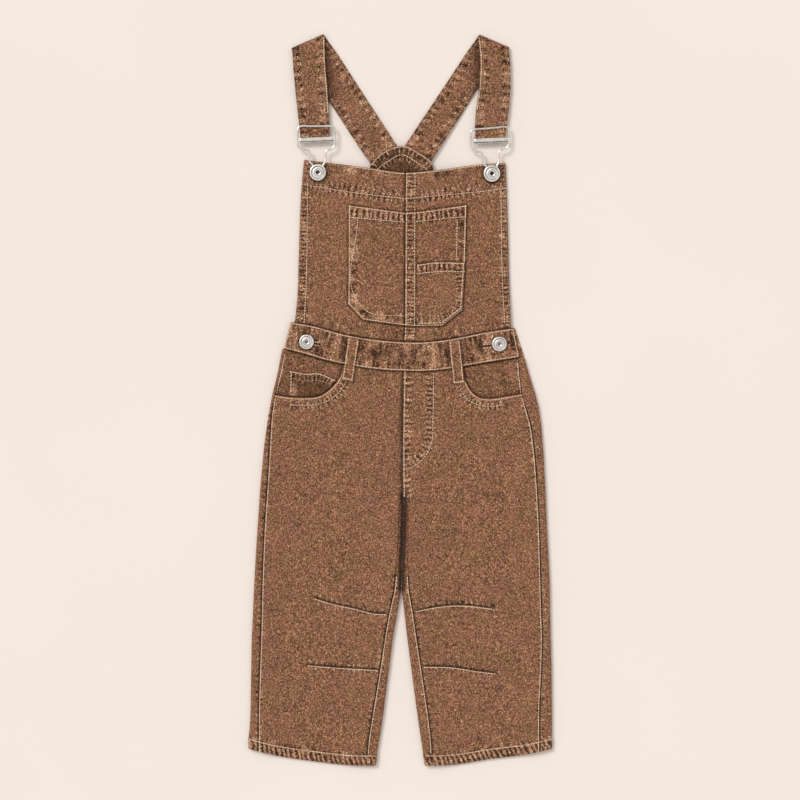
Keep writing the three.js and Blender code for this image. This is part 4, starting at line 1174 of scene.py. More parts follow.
@dataclass
class Leg:
    """One leg: its front panel and the back panel that wraps round both sides to the seams.

    Attributes:
        side: left or right.
        rows: Outline of the leg.
        outward: -1 for the left leg and 1 for the right.
        scoop: Edge of the pocket opening.
        tucks: Knee tucks.
        creases: Soft troughs of the front.
        back_creases: Soft troughs of the back.
        seed: Start of its own uneven pattern.
        step: Spacing of its grid.
    """

    side: str
    rows: list[tuple[float, ...]]
    outward: int
    scoop: Line
    tucks: list[Line]
    creases: list[Crease]
    back_creases: list[Crease]
    seed: int
    step: float = 1.4

    def seam_line(self, index: int, top: float, bottom: float = -372.0, shift: float = 0.0) -> Line:
        """A seam down the leg as a line, from one column of its outline."""
        y = np.linspace(top, bottom, 24)
        return list(zip(column(self.rows, index, y) + shift, y))

    def hem_line(self, lift: float) -> Line:
        """The hem's lower edge moved up by lift, across this leg."""
        ends = sorted((
            column(self.rows, 1, np.array([-370.0]))[0], column(self.rows, 3, np.array([-380.0]))[0]
        ))
        x = np.linspace(ends[0] + 0.8, ends[1] - 0.8, 14)
        return list(zip(x, height_of(HEM, x) + lift))

    def front_base(self, x: Array, y: Array) -> Array:
        """Underside of the front panel."""
        from_side = np.abs(x - column(self.rows, 2, y))
        from_inner = np.abs(x - column(self.rows, 4, y))
        middle = mix(THIGH_FRONT_BASE, HIP_FRONT_BASE, ease(-60, -14, y))
        at_side = 1 - ease(2, EDGE_RISE, from_side)
        at_inner = (1 - ease(2, EDGE_RISE, from_inner)) * ease(CROTCH + 26, CROTCH + 8, y)
        return mix(middle, EDGE_FRONT_BASE, np.maximum(at_side, at_inner))

    def front_thick(self, x: Array, y: Array) -> Array:
        """Thickness of the front panel, with its turned hem and pocket edge."""
        on_hem = ease(LEG_HEM + HEM_STEP, LEG_HEM, y - height_of(HEM, x))
        from_scoop = Seam(self.scoop).nearest(x.ravel(), y.ravel())[0].reshape(x.shape)
        return DENIM + HEM_LIFT * np.maximum(on_hem, ease(10.2, 8.6, from_scoop))

    def front_grid(self) -> tuple[Array, Array, Array]:
        """Places of the front panel and the shares across and down."""
        is_left = self.outward < 0
        inset = HALF_SEAM if is_left else -HALF_SEAM
        start = self.scoop[0] if is_left else self.scoop[-1]
        centre = (3.0 if is_left else 3.4, 29.9 - SEAM)
        pairs = [(start[1], centre[1]), *FRONT_ROWS]
        hem_x = [column(self.rows, k, np.array([-384.0]))[0] + s for k, s in ((2, inset), (4, -inset))]
        hems = [float(height_of(HEM, x)) for x in hem_x]
        pairs.append((hems[0], hems[1]))
        ys = np.asarray(pairs, float)
        mean = ys.sum(axis=1)
        knots = (mean[0] - mean) / (mean[0] - mean[-1])
        vs = stops(395, self.step, (395 - LEG_HEM, 395 - LEG_HEM - HEM_STEP))
        edges = []
        for k, (index, shift) in enumerate(((2, inset), (4, -inset))):
            y = np.interp(vs, knots, ys[:, k])
            x = column(self.rows, index, y) + shift
            edges.append(np.stack([x, y], axis=1))
        edges[0][0] = (start[0] + inset, start[1])
        edges[1][0] = centre
        low = shifted(WAIST_BOTTOM, 0, -SEAM)
        if is_left:
            corner = (self.scoop[-1][0], float(height_of(low, self.scoop[-1][0])))
            scoop = smoothed([tuple(edges[0][0]), *self.scoop[1:-1], corner], 1.0)
            top = np.concatenate([scoop, between(low, corner[0], centre[0])[1:]])
        else:
            corner = (self.scoop[0][0], float(height_of(low, self.scoop[0][0])))
            scoop = smoothed([corner, *self.scoop[1:-1], tuple(edges[0][0])], 1.0)
            top = np.concatenate([between(low, centre[0], corner[0])[:-1], scoop])
        us = stops(150, self.step)
        ends = sorted((edges[0][-1][0], edges[1][-1][0]))
        bottom = between(HEM, ends[0], ends[1])
        left, right = (edges[0], edges[1]) if is_left else (edges[1], edges[0])
        grid = coons(at_shares(top, us), at_shares(bottom, us), left, right, us, vs)
        return grid, us, vs

    def seams(self) -> list[Seam]:
        """Sewn lines that both panels of the leg share."""
        return [
            Seam(
                self.seam_line(2, -5), reach=4.0, wear=0.9, depth=0.2, pitch=6.5, dark=0.9, dark_width=1.1,
                rope=0.35
            ),
            Seam(
                self.seam_line(4, INSEAM_TOP), reach=4.0, wear=0.9, depth=0.2, pitch=6.5, dark=0.95,
                dark_width=1.2, rope=0.35
            ),
            # Painted shadow in the crevice between the legs
            painted_shadow(BETWEEN_LEGS, dark=2.4, width=3.0),
            Seam(self.hem_line(LEG_HEM), reach=3.4, wear=0.8, pitch=4.6, slant=0.05, dark=0.35),
            pucker(self.hem_line(5.2), reach=6.4, wear=1.3, depth=0.42, pitch=5.2, slant=0.07, rope=0.8),
        ]

    def front(self, finishes: Finishes) -> None:
        """Builds the front panel."""
        is_left = self.outward < 0
        grid, us, vs = self.front_grid()
        seams = self.seams()
        seams += [Seam(
            line, reach=4.4, wear=1.0, depth=0.3, pitch=5.8, groove=0.5, dark=1.3, dark_width=1.25,
            rope=0.35
        ) for line in self.tucks]
        sign = 1 if is_left else -1
        second = [(x, y - 8.2) if abs(x) > 80 else (x + sign * 6.0, y - 6.5) for x, y in self.scoop[1:-1]]
        seams += [
            Seam(second, reach=4.8, wear=1.1, depth=0.24, pitch=4.6, dark=0.55, dark_width=0.9, rope=0.45),
            Seam(shifted(WAIST_BOTTOM, 0, -0.6), reach=3.0, wear=0.6, dark=0.9, dark_width=1.4, groove=0.1),
        ]
        if is_left:
            seams.append(Seam(shifted(CENTRE_SEAM, -0.6, 0), reach=3.4, wear=0.4, dark=0.8, dark_width=2.6))
        else:
            seams.append(pucker(
                shifted(CENTRE_SEAM, 3.4, 0), reach=7.0, wear=1.05, depth=0.3, pitch=5.6, rope=0.5
            ))
            seams.append(pucker(
                shifted(FLY_STITCH, -3.4, 1.6), reach=5.0, wear=1.25, depth=0.26, pitch=5.2, rope=0.5
            ))
            seams.append(Seam(
                FLY_STITCH, reach=2.2, wear=0.6, depth=0.2, pitch=5, dark=0.5, dark_width=1.0
            ))
        creases = self.creases + [Crease(line if is_left else line[::-1], 0.9, 0.6) for line in self.tucks]
        relief = Relief(seams, creases, self.seed)
        cloth = Cloth(f"front_panel_{self.side}", f"leg_front_{self.side}", "denim", (0.155, 0.42), 0.86,
                      rests_on=(f"leg_back_{self.side}",))
        cloth.lay(grid, us, vs, self.front_base, self.front_thick, relief, finishes.denim)
        cloth.stitch(f"front_stitches_{self.side}", self.front_runs(second), finishes)

    def front_runs(self, second: Line) -> list[Run]:
        """Stitches on the front panel."""
        is_left = self.outward < 0
        inside = 1.5 * (1 if is_left else -1)
        scoop = self.scoop[:-1] if is_left else self.scoop[1:]
        runs = [
            Run(self.seam_line(2, scoop[0][1] - 4 if is_left else scoop[-1][1] - 4, -370, inside)),
            Run(scoop, Stitch.EDGE, -1.5),
            Run(second, Stitch.ROW),
            Run(self.hem_line(LEG_HEM - 1.2), Stitch.EDGE),
        ]
        for line in self.tucks:
            runs.append(Run(line, Stitch.EDGE, 1.5 if is_left else -1.5))
        if not is_left:
            runs += [
                Run(CENTRE_SEAM, Stitch.EDGE, 1.9),
                Run(FLY_STITCH, Stitch.ROW),
                Run([(8.0, -9.5), (15.5, -3.5)], Stitch.BAR),
                Run([(28.5, -30.5), (32.5, -25.0)], Stitch.BAR),
                Run([(6.5, -75.2), (14.5, -70.5)], Stitch.BAR),
            ]
        return runs

    def section(self, y: Array) -> tuple[Array, Array, Array, Array]:
        """Middle of the back's cloth from side seam to inseam, one row to each y.

        Args:
            y: Places down the leg.

        Returns:
            X, z and the two parts of the outward direction, in rows and columns.
        """
        out, r, middle = self.outward, FOLD_RADIUS, DENIM / 2
        side, seam, inner, inseam, curl = (column(self.rows, k, y)[:, None] for k in range(1, 6))
        fold_x = side - out * (middle + r)
        seam_x = out * np.minimum(out * seam + HALF_SEAM, out * fold_x - 0.05)
        strip = np.linspace(0, 1, 8)[None, :-1]
        turn = np.linspace(0, math.pi, 11)[None, :]
        flat = np.linspace(0, 1, 34)[None, 1:-1]
        high = np.full_like(side * strip, middle + 2 * r)
        start = fold_x + 0 * turn[:, -1:]
        inner_fold = inner + out * (middle + r)
        back = turn[:, ::-1]
        curled_x = inner_fold - out * r * np.sin(back)
        curled_z = middle + r + r * np.cos(back) + 0 * curled_x
        spread = math.pi * r
        flat_end = inner + out * HALF_SEAM
        share = np.linspace(1, 0, 11)[None, :]
        level_x = flat_end + out * (2 + spread * share)
        inner_x = mix(level_x, curled_x, curl)
        inner_z = mix(np.full_like(curled_z, middle), curled_z, curl)
        inner_nx = curl * -out * np.sin(back)
        inner_nz = mix(-1.0, np.cos(back) + 0 * curled_x, curl)
        inseam_x = out * np.maximum(out * inseam - HALF_SEAM, out * inner_fold + 0.05)
        last_x = mix(flat_end, inseam_x, curl)
        tail = np.linspace(0, 1, 7)[None, 1:]
        x = np.concatenate(
            [mix(seam_x, fold_x, strip), fold_x + out * r * np.sin(turn), mix(start, inner_x[:, :1], flat),
             inner_x, mix(inner_x[:, -1:], last_x, tail)], axis=1)
        z = np.concatenate(
            [high, middle + r + r * np.cos(turn) + 0 * fold_x, np.full((len(y), flat.shape[1]), middle),
             inner_z, inner_z[:, -1:] + 0 * tail], axis=1)
        nx = np.concatenate(
            [0 * high, out * np.sin(turn) + 0 * fold_x, np.zeros((len(y), flat.shape[1])), inner_nx,
             np.zeros((len(y), tail.shape[1]))], axis=1)
        nz = np.concatenate(
            [0 * high + 1, np.cos(turn) + 0 * fold_x, -np.ones((len(y), flat.shape[1])), inner_nz,
             inner_nz[:, -1:] + 0 * tail], axis=1)
        return x, z, nx, nz

    def bend(self, x: Array, y: Array) -> Array:
        """How far a row of the back moves to follow the waist seam and the hem."""
        top, bottom = self.rows[0][0], self.rows[-1][0]
        waist = (height_of(WAIST_BOTTOM, x) - SEAM - top) * ease(-60, top, y)
        hem = (height_of(HEM, x) - bottom) * ease(-330, bottom, y)
        return waist + hem

    def back(self, finishes: Finishes) -> None:
        """Builds the back panel, which wraps round the sides."""
        top, bottom = self.rows[0][0], self.rows[-1][0]
        rows = bottom + (top - bottom) * (1 - stops(top - bottom, 1.7))
        x, z, nx, nz = self.section(rows)
        y = rows[:, None] + self.bend(x, rows[:, None] + 0 * x)
        relief = Relief(self.seams(), self.back_creases, self.seed + 40, wave=0.12)
        marks = relief.marks(x, y)
        seen = ease(-0.3, 0.5, nz)
        on_hem = ease(LEG_HEM + HEM_STEP, LEG_HEM, y - height_of(HEM, x)) * 0.5
        end = np.minimum(rows - bottom, top - rows)[:, None]
        rounding = (1 - np.clip(end / EDGE_ROUND, 0, 1)) ** 2 * 0.3
        grow = DENIM / 2 - rounding * DENIM * seen + (marks["lift"] + on_hem) * seen
        upper = np.stack([x + nx * grow, y, z + nz * grow], axis=-1)
        lower = np.stack([x - nx * DENIM / 2, y, z - nz * DENIM / 2], axis=-1)
        upper[..., 2] = np.maximum(upper[..., 2], 0.0)
        cloth = Cloth(f"back_panel_{self.side}", f"leg_back_{self.side}", "denim", (0.18, 0.44), 0.87)
        cloth.sew(upper, lower, marks, finishes.denim)
        away = -1.3 if self.outward < 0 else 1.3
        runs = [
            Run(self.seam_line(4, INSEAM_TOP, -372, -away)),
            Run(self.hem_line(LEG_HEM - 1.2), Stitch.EDGE),
        ]
        if self.outward > 0:
            runs.append(Run(self.seam_line(2, 30, -372, 1.3), Stitch.TONAL))
        cloth.stitch(f"back_stitches_{self.side}", runs, finishes)


def flat_grid(
    top: Array, bottom: Array, left: Sequence[Point], right: Sequence[Point], us: Array, vs: Array
) -> Array:
    """Grid of places inside four lines given as points."""
    sides = [at_shares(
        smoothed(line) if len(line) > 2 else np.asarray(line, float), vs
    ) for line in (left, right)]
    tops = [at_shares(np.asarray(line, float), us) for line in (top, bottom)]
    sides[0][0], sides[1][0] = tops[0][0], tops[0][-1]
    sides[0][-1], sides[1][-1] = tops[1][0], tops[1][-1]
    return coons(tops[0], tops[1], sides[0], sides[1], us, vs)


@dataclass
class Hip:
    """What shows in a pocket opening: the facing, and on the left a coin pocket."""

    side: str
    rows: list[tuple[float, ...]]
    outward: int
    inner_x: float
    seed: int
    bottom_y: float = -12.0

    def base(self, x: Array, y: Array) -> Array:
        """Underside of the facing."""
        near = 1 - ease(1, 9, np.abs(x - column(self.rows, 2, y)))
        return mix(BACK_TOP, EDGE_FRONT_BASE, near * ease(8, 18, y))

    def facing(self, finishes: Finishes) -> None:
        """Builds the facing."""
        is_left = self.outward < 0
        inset = HALF_SEAM if is_left else -HALF_SEAM
        low = shifted(WAIST_BOTTOM, 0, -2 * SEAM)
        seam_x = float(column(self.rows, 2, np.array([46.0]))[0]) + inset
        top_y = float(height_of(low, seam_x))
        ys = np.linspace(top_y, self.bottom_y, 12)
        side = [(seam_x, top_y)] + list(zip(column(self.rows, 2, ys[1:]) + inset, ys[1:]))
        deep = [(self.inner_x, float(height_of(low, self.inner_x))), (self.inner_x, self.bottom_y)]
        left, right = (side, deep) if is_left else (deep, side)
        top = between(low, left[0][0], right[0][0])
        bottom = np.array([left[-1], right[-1]])
        us, vs = stops(74, 1.6), stops(62, 1.6)
        grid = flat_grid(top, bottom, left, right, us, vs)
        seams = [
            Seam(side, reach=5.5, wear=0.85, pitch=6, dark=0.25, dark_width=1.6),
            shade(shifted(WAIST_BOTTOM, 0, -0.4), reach=3.2, wear=0.5, dark=0.9, width=1.5),
            shade(LEFT_SCOOP if is_left else RIGHT_SCOOP, reach=4, wear=0.3, dark=0.95, width=2.4),
        ]
        relief = Relief(seams, seed=self.seed, wave=0.15, covered=lambda x, y: 1.0 * (y < 32))
        cloth = Cloth(f"hip_cloth_{self.side}", f"hip_facing_{self.side}", "denim_deep", (0.078, 0.065), 0.95,
                      rests_on=(f"leg_back_{self.side}",))
        cloth.lay(grid, us, vs, self.base, level(DENIM), relief, finishes.shaded)
        hip_side = [(x + inset * 8, y) for x, y in side[1:9]]
        cloth.stitch(f"hip_stitches_{self.side}", [Run(hip_side)], finishes)

    def coin_pocket(self, finishes: Finishes) -> None:
        """Builds the coin pocket, whose lower edge the front panel hides."""
        top: Line = [(-115.9, 30.8), (-100.9, 27.7), (-86, 27.9), (-67.6, 20.6)]
        bottom: Line = [(-117.2, 3.6), (-100.9, 2.9), (-84.6, 4.8), (-73.0, 13.0)]
        left, right = [top[0], bottom[0]], [top[-1], bottom[-1]]
        us, vs = stops(48, 0.95), stops(26, 0.95)
        grid = flat_grid(smoothed(top), smoothed(bottom), left, right, us, vs)
        seams = [
            Seam(
                shifted(top, 0, -5.0), reach=5.0, wear=1.2, depth=0.16, pitch=4.4, groove=0.0, dark=0.5,
                rope=0.5
            ),
            pucker([(x + 4.5, y) for x, y in left], reach=4.2, wear=0.9, depth=0.15, pitch=3.6),
            shade(LEFT_SCOOP, reach=4, wear=0.2, dark=0.95, width=2.0),
        ]
        relief = Relief(seams, seed=self.seed + 5, wave=0.05)
        cloth = Cloth("coin_pocket_cloth", "coin_pocket_left", "denim_deep", (0.05, 0.027), 0.85,
                      rests_on=("hip_facing_left",))

        def thick(x: Array, y: Array) -> Array:
            """Thickness, with the hem turned at the top."""
            return 0.9 + 0.5 * ease(9.4, 8.4, height_of(top, x) - y)

        cloth.lay(grid, us, vs, level(HIP_FRONT_BASE), thick, relief, finishes.deep)
        runs = [
            Run(top, Stitch.EDGE, -1.2), Run([(-114.4, 29.5), (-115.2, 7.0)]),
            Run(shifted(top[:3] + [(-74.0, 24.0)], 0, -8.2), Stitch.TONAL),
            Run([(-108.5, 21.0), (-109.5, 6.0)], Stitch.TONAL),
        ]
        cloth.stitch("coin_pocket_stitches", runs, finishes)


@dataclass
class Waist:
    """The doubled waistband, front and back, and the belt loops."""

    loops: tuple[tuple[Point, Point], ...] = (((-48.7, 64.4), (-55.6, 19.2)), ((56.7, 62.2), (61.5, 16.0)))
    buttonholes: tuple[Line, ...] = (
        [(-90.8, 58.8), (-84.4, 57.9)], [(86.0, 55.5), (97.0, 57.0)], [(111.3, 59.3), (114.8, 60.2)],
    )

    def front(self, finishes: Finishes) -> None:
        """Builds the front band."""
        us, vs = stops(238, 1.25), stops(29, 1.2)
        grid = flat_grid(
            smoothed(WAIST_TOP), smoothed(WAIST_BOTTOM), [WAIST_TOP[0], WAIST_BOTTOM[0]],
            [WAIST_TOP[-1], WAIST_BOTTOM[-1]], us, vs,
        )
        middle = [(x, float(height_of(WAIST_TOP, x)) - 14.5) for x in np.linspace(-116, 120, 16)]
        ends = [[(-114.2, 80), (-121.3, 54)], [(118.2, 74), (123.6, 45.5)]]
        seams = [
            pucker(shifted(WAIST_TOP, 0, -5.5), reach=6.0, wear=1.0, depth=0.3, pitch=5.2, rope=0.22),
            pucker(shifted(WAIST_BOTTOM, 0, 5.5), reach=6.0, wear=1.0, depth=0.3, pitch=5.2, rope=0.22),
            pucker(middle, reach=9.0, wear=0.85, depth=0.25, pitch=7.0),
            *[pucker(end, reach=5, wear=0.9, pitch=4.5) for end in ends],
            *[Seam(
                hole, reach=4, wear=0.9, depth=0.3, pitch=3, groove=0.9, dark=1.5, dark_width=1.1
            ) for hole in self.buttonholes],
            # Painted shadow round the waist buttons
            *[painted_shadow(ring_round(centre, 8.0), dark=0.9, width=0.9) for centre in WAIST_BUTTONS],
        ]
        for (x0, y0), (x1, y1) in self.loops:
            for shift in (-7.2, 7.2):
                seams.append(shade(
                    [(x0 + shift, y0), (x1 + shift, y1 + 12)], reach=2, wear=0.2, dark=0.75, width=1.6
                ))
        relief = Relief(seams, seed=61, wave=0.15)
        cloth = Cloth(
            "waistband_cloth", "waistband_front", "denim", (0.245, 0.03), 0.97,
            rests_on=("waistband_back",)
        )
        cloth.lay(grid, us, vs, level(HIP_FRONT_BASE),
                           level(WAISTBAND_THICK), relief, finishes.denim)
        runs = [
            Run(WAIST_TOP, Stitch.EDGE, -1.3), Run(WAIST_BOTTOM, Stitch.EDGE, 1.3),
            *[Run(end) for end in ends],
            *[Run(hole, Stitch.ROW, 1.6) for hole in self.buttonholes[:2]],
            *[Run(hole, Stitch.ROW, -1.6) for hole in self.buttonholes[:2]],
        ]
        cloth.stitch("waistband_stitches", runs, finishes)

    def back(self, finishes: Finishes) -> None:
        """Builds the back band on the surface."""
        right = [(120.4, 75.4), (130.4, 44.4)]
        top = smoothed([*WAIST_TOP[:-1], right[0]])
        bottom = smoothed([*WAIST_BOTTOM, right[1]])
        us, vs = stops(242, 2.4), stops(29, 1.8)
        grid = flat_grid(top, bottom, [WAIST_TOP[0], WAIST_BOTTOM[0]], right, us, vs)
        relief = Relief([Seam(WAIST_BOTTOM, dark=0.5), Seam(right, reach=5)], seed=67, wave=0.0,
                        covered=lambda x, y: 1.0 * (x < 119))
        cloth = Cloth("waistband_back_cloth", "waistband_back", "denim", (0.25, 0.03), 0.97)
        cloth.lay(grid, us, vs, level(0), level(WAISTBAND_THICK), relief,
                           finishes.denim, rim=0.35)

    def belt_loop(self, side: str, ends: tuple[Point, Point], finishes: Finishes) -> None:
        """Builds one belt loop, folded under at its foot."""
        (x0, y0), (x1, y1) = ends
        length = math.hypot(x1 - x0, y1 - y0)
        ax, ay = -(y1 - y0) / length * LOOP_WIDTH / 2, (x1 - x0) / length * LOOP_WIDTH / 2
        corners = [[(px - s * ax, py - s * ay) for s in (1, -1)] for px, py in ((x0, y0), (x1, y1))]
        us, vs = stops(LOOP_WIDTH, 0.8), stops(length, 0.85)
        left, right = [corners[0][0], corners[1][0]], [corners[0][1], corners[1][1]]
        grid = flat_grid(np.array(corners[0]), np.array(corners[1]), left, right, us, vs)
        band = BAND_TOP + SEAM
        leg = HIP_FRONT_BASE + DENIM + HEM_LIFT + SEAM
        share = vs[:, None] + 0 * us[None, :]

        def base(x: Array, y: Array) -> Array:
            """Underside: over the band, then down to the leg."""
            return mix(band, leg, ease(0.74, 0.94, share))

        def thick(x: Array, y: Array) -> Array:
            """Thickness, raised where both ends are folded under."""
            fold = np.maximum(ease(0.86, 0.89, share), ease(0.09, 0.06, share))
            return LOOP_THICK - 0.35 + 0.5 * fold

        seams = [pucker(line, reach=2.6, wear=0.8, depth=0.12, pitch=3) for line in (left, right)]
        foot = [mix(np.array(a), np.array(b), 0.88) for a, b in (left, right)]
        seams.append(Seam(
            [tuple(foot[0]), tuple(foot[1])], reach=2, wear=0.5, dark=0.8, dark_width=0.9, groove=0.3
        ))
        relief = Relief(seams, seed=71 + (side == "right"), wave=0.04)
        cloth = Cloth(f"loop_{side}", f"belt_loop_{side}", "denim", (LOOP_WIDTH * MM, length * MM),
                      rests_on=("waistband_front", f"leg_front_{side}"))
        cloth.lay(grid, us, vs, base, thick, relief, finishes.denim, rim=0.4)
        inner = [[tuple(mix(np.array(a), np.array(b), t)) for t in (0.03, 0.97)] for a, b in (left, right)]
        runs = [Run(inner[0], Stitch.EDGE, 1.2), Run(inner[1], Stitch.EDGE, -1.2)]
        for t in (0.05, 0.95):
            a, b = (mix(np.array(line[0]), np.array(line[1]), t) for line in (left, right))
            runs.append(Run(
                [tuple(mix(a, b, 0.12)), tuple(mix(a, b, 0.88))], Stitch.BAR if t < 0.5 else Stitch.EDGE
            ))
        cloth.stitch(f"loop_stitches_{side}", runs, finishes)

    def build(self, finishes: Finishes) -> None:
        """Builds both bands and both loops."""
        self.back(finishes)
        self.front(finishes)
        for side, ends in zip(SIDES, self.loops):
            self.belt_loop(side, ends, finishes)


def line_x(line: Sequence[Point], y: Array | float) -> Array:
    """X of an upright line of the cut at y."""
    p = smoothed(line, 2.0)
    order = np.argsort(p[:, 1])
    return np.interp(y, p[order, 1], p[order, 0])


BIB_TOP_STITCH: Line = [(-101.1, 225.8), (-50, 217.2), (4.3, 210.4), (58, 215.6), (112.0, 222.0)]
POCKET_HEM_STITCH: Line = [(-54.0, 191.1), (5.0, 185.8), (16, 186.2), (69.4, 191.9)]
SMALL_POCKET_TOP: Line = [(17.5, 141.9), (38.2, 144.2), (67.6, 143.6)]
POCKET_OUTLINE: Line = [
    (5.9, 195.8), (-54.2, 203.8), (-54.9, 100.3), (-38.9, 83.3), (-4.8, 77.6), (16.5, 76.4), (44.4, 77.0),
    (65.6, 94.0), (68.2, 138.8), (69.8, 204.2), (5.9, 195.8),
]


def sharp(line: Sequence[Point]) -> list[Line]:
    """Each straight part of a line on its own, so that its corners stay sharp."""
    return [[a, b] for a, b in zip(line[:-1], line[1:])]


def bib_base(x: Array, y: Array) -> Array:
    """Underside of the bib: it rides over the back yoke in the middle and lies lower to the sides."""
    over_yoke = (1 - ease(44, 78, np.abs(x - 0.9))) * ease(150, 200, y)
    low = mix(HIP_FRONT_BASE, BACK_TOP, ease(86, 125, y))
    return mix(low, BIB_OVER_YOKE_BASE, over_yoke)


def on_pocket(x: Array, y: Array) -> Array:
    """1 where the bib pocket lies on the bib."""
    return 1.0 * ((x > -53.5) & (x < 67) & (y > 84) & (y < 197))


@dataclass
class Bib:
    """The front bib in two halves, its pocket and the small pocket on it."""

    def half(self, is_left: bool, finishes: Finishes) -> None:
        """Builds one half of the bib."""
        side = "left" if is_left else "right"
        seam = shifted(BIB_SEAM, -HALF_SEAM if is_left else HALF_SEAM, 0)
        low = shifted(WAIST_TOP, 0, SEAM)
        edge = BIB_LEFT if is_left else BIB_RIGHT
        middle = [*seam[:-1], (seam[3][0], float(height_of(low, seam[3][0])))]
        outer = [*edge[:-1], (edge[-1][0], float(height_of(low, edge[-1][0])))]
        left, right = (outer, middle) if is_left else (middle, outer)
        top = between(BIB_TOP, left[0][0], right[0][0])
        bottom = between(low, left[-1][0], right[-1][0])
        us, vs = stops(108, 1.35), stops(172, 1.35)
        grid = flat_grid(top, bottom, left, right, us, vs)

        def thick(x: Array, y: Array) -> Array:
            """Thickness, with the hems and the felled band."""
            from_side = np.abs(x - line_x(edge, y))
            raised = np.maximum(ease(BIB_TOP_HEM + BIB_HEM_STEP, BIB_TOP_HEM, height_of(BIB_TOP, x) - y),
                                ease(BIB_SIDE_HEM + BIB_HEM_STEP, BIB_SIDE_HEM, from_side))
            if not is_left:
                raised = np.maximum(
                    raised, ease(FELLED_BAND + BAND_STEP, FELLED_BAND, x - line_x(BIB_SEAM, y))
                )
            return DENIM + HEM_LIFT * raised * (1 - on_pocket(x, y))

        out, hem_x = (-1, -95.9) if is_left else (1, 104.5)
        hem_line = [
            (hem_x + (-1.5 if is_left else 1.2), 228), (hem_x + 3 * out, 120), (hem_x + 5 * out, 80)
        ]
        outer_line = [(x - 4 * out, y - 3) for x, y in outer]
        seams = [
            Seam(
                BIB_TOP_STITCH, reach=4.4, wear=1.15, depth=0.26, pitch=5.4, dark=0.55, dark_width=0.9,
                rope=0.55
            ),
            pucker(shifted(BIB_TOP_STITCH, 0, 4.6), reach=5.0, wear=1.0, depth=0.22, pitch=5.6, rope=0.4),
            pucker(shifted(BIB_TOP, 0, -5.0), reach=6.0, wear=0.6, depth=0.2, pitch=5.0),
            # Painted shadow round the bib button
            painted_shadow(ring_round(LEFT_BUTTON if is_left else RIGHT_BUTTON, 9.0), dark=1.1, width=1.4),
            pucker(outer_line, reach=5.0, wear=1.1, depth=0.24, pitch=4.4, rope=0.4),
            Seam(hem_line, reach=3.2, wear=0.8, depth=0.2, pitch=3.2, dark=0.3, dark_width=0.9),
            shade(shifted(WAIST_TOP, 0, 0.6), reach=3.2, wear=0.6, dark=0.9, width=1.3),
            pucker(shifted(WAIST_TOP, 0, 7.0), reach=6.0, wear=0.55, depth=0.15, pitch=5.5),
        ]
        outline = sharp(POCKET_OUTLINE)
        seams += [shade(part, reach=2.6, wear=0.2, dark=0.95, width=1.3) for part in outline]
        if is_left:
            seams.append(Seam(shifted(BIB_SEAM, -0.4, 0), reach=3, wear=0.4, dark=0.9, dark_width=1.3))
        else:
            seams.append(pucker(
                shifted(BIB_SEAM, 5.4, 0), reach=6.0, wear=1.2, depth=0.28, pitch=4.4, rope=0.4
            ))
            seams.append(Seam(shifted(BIB_SEAM, 11.4, 0), reach=2.4, wear=0.5, dark=0.5, dark_width=0.9))
        relief = Relief(seams, seed=81 if is_left else 83, wave=0.2, covered=on_pocket)
        cloth = Cloth(
            f"bib_cloth_{side}", f"bib_{side}", "denim", (0.112, 0.182), 0.93,
            rests_on=("back_bib", "yoke_facing")
        )
        cloth.lay(grid, us, vs, bib_base, thick, relief, finishes.denim)
        part = BIB_TOP_STITCH[:3] if is_left else BIB_TOP_STITCH[2:]
        top_span = (-52, 4.5) if is_left else (left[0][0] + 1, right[0][0] - 1)
        runs = [
            Run(between(BIB_TOP, *top_span, 4).tolist(), Stitch.EDGE, -1.3),
            Run(part, Stitch.ROW), Run(hem_line, Stitch.ROW),
            Run([(x - 1.4 * out, y) for x, y in outer], Stitch.TONAL),
        ]
        if is_left:
            runs.append(Run(between(BIB_TOP, -99, -52, 4).tolist(), Stitch.TONAL, -1.6))
        else:
            for ys in ((238.0, 197.5), (76.0, 62.0)):
                for shift, kind in ((1.3, Stitch.EDGE), (10.0, Stitch.ROW)):
                    runs.append(Run([(line_x(BIB_SEAM, y) + shift, y) for y in ys], kind))
        cloth.stitch(f"bib_stitches_{side}", runs, finishes)

    def pocket_half(self, is_left: bool, finishes: Finishes) -> None:
        """Builds one half of the bib pocket."""
        side = "left" if is_left else "right"
        if is_left:
            outline = [(-54.2, 203.8), (-54.9, 100.3), (-38.9, 83.3), (4.55, 77.4)]
            top, bottom = [outline[0], (5.05, 195.9)], outline[1:]
            left, right = outline[:2], [top[-1], outline[-1]]
        else:
            outline = [(69.8, 204.2), (68.2, 138.8), (65.4, 94.2), (44.4, 77.2), (16.5, 76.6), (4.85, 77.4)]
            top, bottom = [(5.35, 195.9), (16.2, 196.6), outline[0]], outline[:1:-1]
            left, right = [top[0], outline[-1]], outline[:3]
        us, vs = stops(62, 1.25), stops(122, 1.25)
        grid = flat_grid(np.array(top), np.array(bottom), left, right, us, vs)
        hem = POCKET_HEM_STITCH

        def thick(x: Array, y: Array) -> Array:
            """Thickness, with the hem and the felled band."""
            raised = ease(-0.6, 0.6, y - height_of(hem, x) + 0.4)
            if not is_left:
                raised = np.maximum(
                    raised, ease(FELLED_BAND + BAND_STEP, FELLED_BAND, x - line_x(BIB_SEAM, y))
                )
            return DENIM + HEM_LIFT * raised

